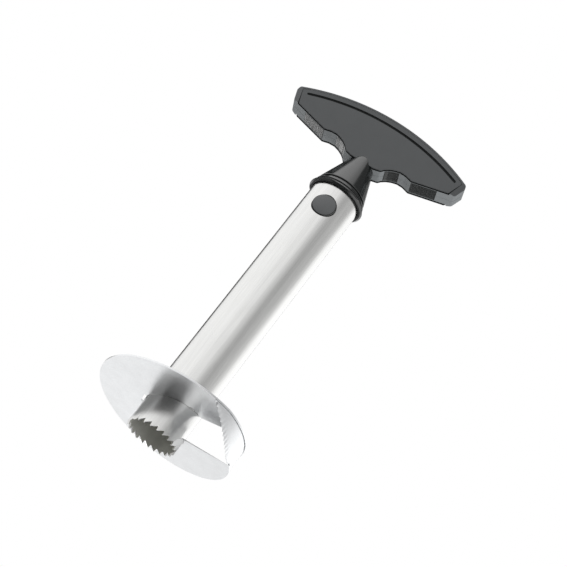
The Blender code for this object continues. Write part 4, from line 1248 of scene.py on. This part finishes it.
def add_world(studio):
    """Even light on plain surfaces, soft boxes and flags for gloss, and white for the camera."""
    world = bpy.data.worlds.new("studio")
    bpy.context.scene.world = world
    world.use_nodes = True
    tree = world.node_tree
    tree.nodes.clear()
    way = node(tree, "TexCoord").outputs["Generated"]
    level = studio.surround
    for name, azimuth, elevation, half_angle, softness, strength in STUDIO_PATCHES:
        dot = node(tree, "VectorMath", {0: way, 1: bearing(azimuth, elevation)},
                   operation="DOT_PRODUCT", label=name).outputs["Value"]
        outer, inner = cos(radians(half_angle + softness)), cos(radians(half_angle))
        inside = spread(tree, dot, outer, inner, 0.0, 1.0, smooth=True)
        level = node(tree, "Mix", {0: inside, 2: level, 3: strength}, label=name).outputs[0]
    path = node(tree, "LightPath").outputs
    height = node(tree, "SeparateXYZ", {0: way}).outputs["Z"]
    even = spread(tree, height, *HORIZON_HEIGHTS, studio.bounce, studio.fill, smooth=True)
    gloss, plain, white = (
        node(tree, "Background", {"Color": (1.0, 1.0, 1.0, 1.0), "Strength": strength}).outputs[0]
        for strength in (level, even, 1.0))
    lit = mixed(tree, path["Is Glossy Ray"], plain, gloss)
    node(tree, "OutputWorld", {"Surface": mixed(tree, path["Is Camera Ray"], lit, white)})


def add_floor(studio):
    """A pale floor under the teeth, seen from above only."""
    shape = bmesh.new()
    bmesh.ops.create_grid(shape, x_segments=1, y_segments=1, size=FLOOR_HALF_SIZE)
    floor = add("floor", mesh_from("floor", shape))
    floor.location.z = -FLOOR_GAP
    made = bpy.data.materials.new("pale_floor")
    made.use_nodes = True
    tree = made.node_tree
    tree.nodes.clear()
    front = math(tree, "SUBTRACT", 1.0, node(tree, "NewGeometry").outputs["Backfacing"])
    seen = math(tree, "MULTIPLY", node(tree, "LightPath").outputs["Is Camera Ray"], front)
    matte = node(tree, "BsdfDiffuse", {"Color": (*studio.floor, 1.0)}).outputs[0]
    clear = node(tree, "BsdfTransparent").outputs[0]
    node(tree, "OutputMaterial", {"Surface": mixed(tree, seen, clear, matte)})
    floor.data.materials.append(made)


def add_lamp(name, azimuth, elevation, size, power):
    """A round lamp a metre off that lights plain surfaces and isn't seen in gloss."""
    lamp = bpy.data.lights.new(name, "AREA")
    lamp.shape = "DISK"
    lamp.size = size
    lamp.energy = power
    thing = add(name, lamp)
    way = bearing(azimuth, elevation)
    thing.location = CAMERA_TARGET + way
    thing.rotation_mode = "QUATERNION"
    thing.rotation_quaternion = way.to_track_quat("Z", "Y")
    thing.visible_glossy = False


class SCENE_OT_slicer_stage(Operator):
    """Set up the floor, the light and the camera"""

    bl_idname = "scene.slicer_stage"
    bl_label = "Studio"

    def execute(self, context):
        studio = context.scene.slicer_studio
        context.scene.view_settings.view_transform = "Standard"
        add_camera()
        add_world(studio)
        add_floor(studio)
        for name, *where in LAMPS:
            add_lamp(f"{name}_lamp", *where, getattr(studio, name))
        return {"FINISHED"}


OPERATORS = (
    OBJECT_OT_slicer_tube,
    OBJECT_OT_slicer_blade,
    OBJECT_OT_slicer_rim_knife,
    OBJECT_OT_slicer_buttons,
    OBJECT_OT_slicer_springs,
    OBJECT_OT_slicer_plug,
    OBJECT_OT_slicer_collar,
    OBJECT_OT_slicer_neck,
    OBJECT_OT_slicer_grip,
    OBJECT_OT_slicer_panels,
    OBJECT_OT_slicer_pads,
    SCENE_OT_slicer_stage,
)
SETTINGS = {
    "slicer_steel": SlicerSteelSizes,
    "slicer_grip": SlicerGripSizes,
    "slicer_colours": SlicerColours,
    "slicer_studio": SlicerStudio,
}


class VIEW3D_PT_slicer(Panel):
    """Sidebar page with the sizes, the colours and a button for each group of pieces"""

    bl_label = "Pineapple slicer"
    bl_idname = "VIEW3D_PT_slicer"
    bl_space_type = "VIEW_3D"
    bl_region_type = "UI"
    bl_category = "Slicer"

    def draw(self, context):
        for name in SETTINGS:
            box = self.layout.box()
            settings = getattr(context.scene, name)
            for value in settings.__annotations__:
                box.prop(settings, value)
        for operator in OPERATORS:
            self.layout.operator(operator.bl_idname)


CLASSES = (*SETTINGS.values(), *OPERATORS, VIEW3D_PT_slicer)


def register():
    for made in CLASSES:
        bpy.utils.register_class(made)
    for name, settings in SETTINGS.items():
        setattr(bpy.types.Scene, name, PointerProperty(type=settings))


def unregister():
    for name in SETTINGS:
        delattr(bpy.types.Scene, name)
    for made in reversed(CLASSES):
        bpy.utils.unregister_class(made)


def main():
    register()
    for operator in OPERATORS:
        area, name = operator.bl_idname.split(".")
        getattr(getattr(bpy.ops, area), name)()
    bpy.context.view_layer.update()


if __name__ == "__main__":
    main()
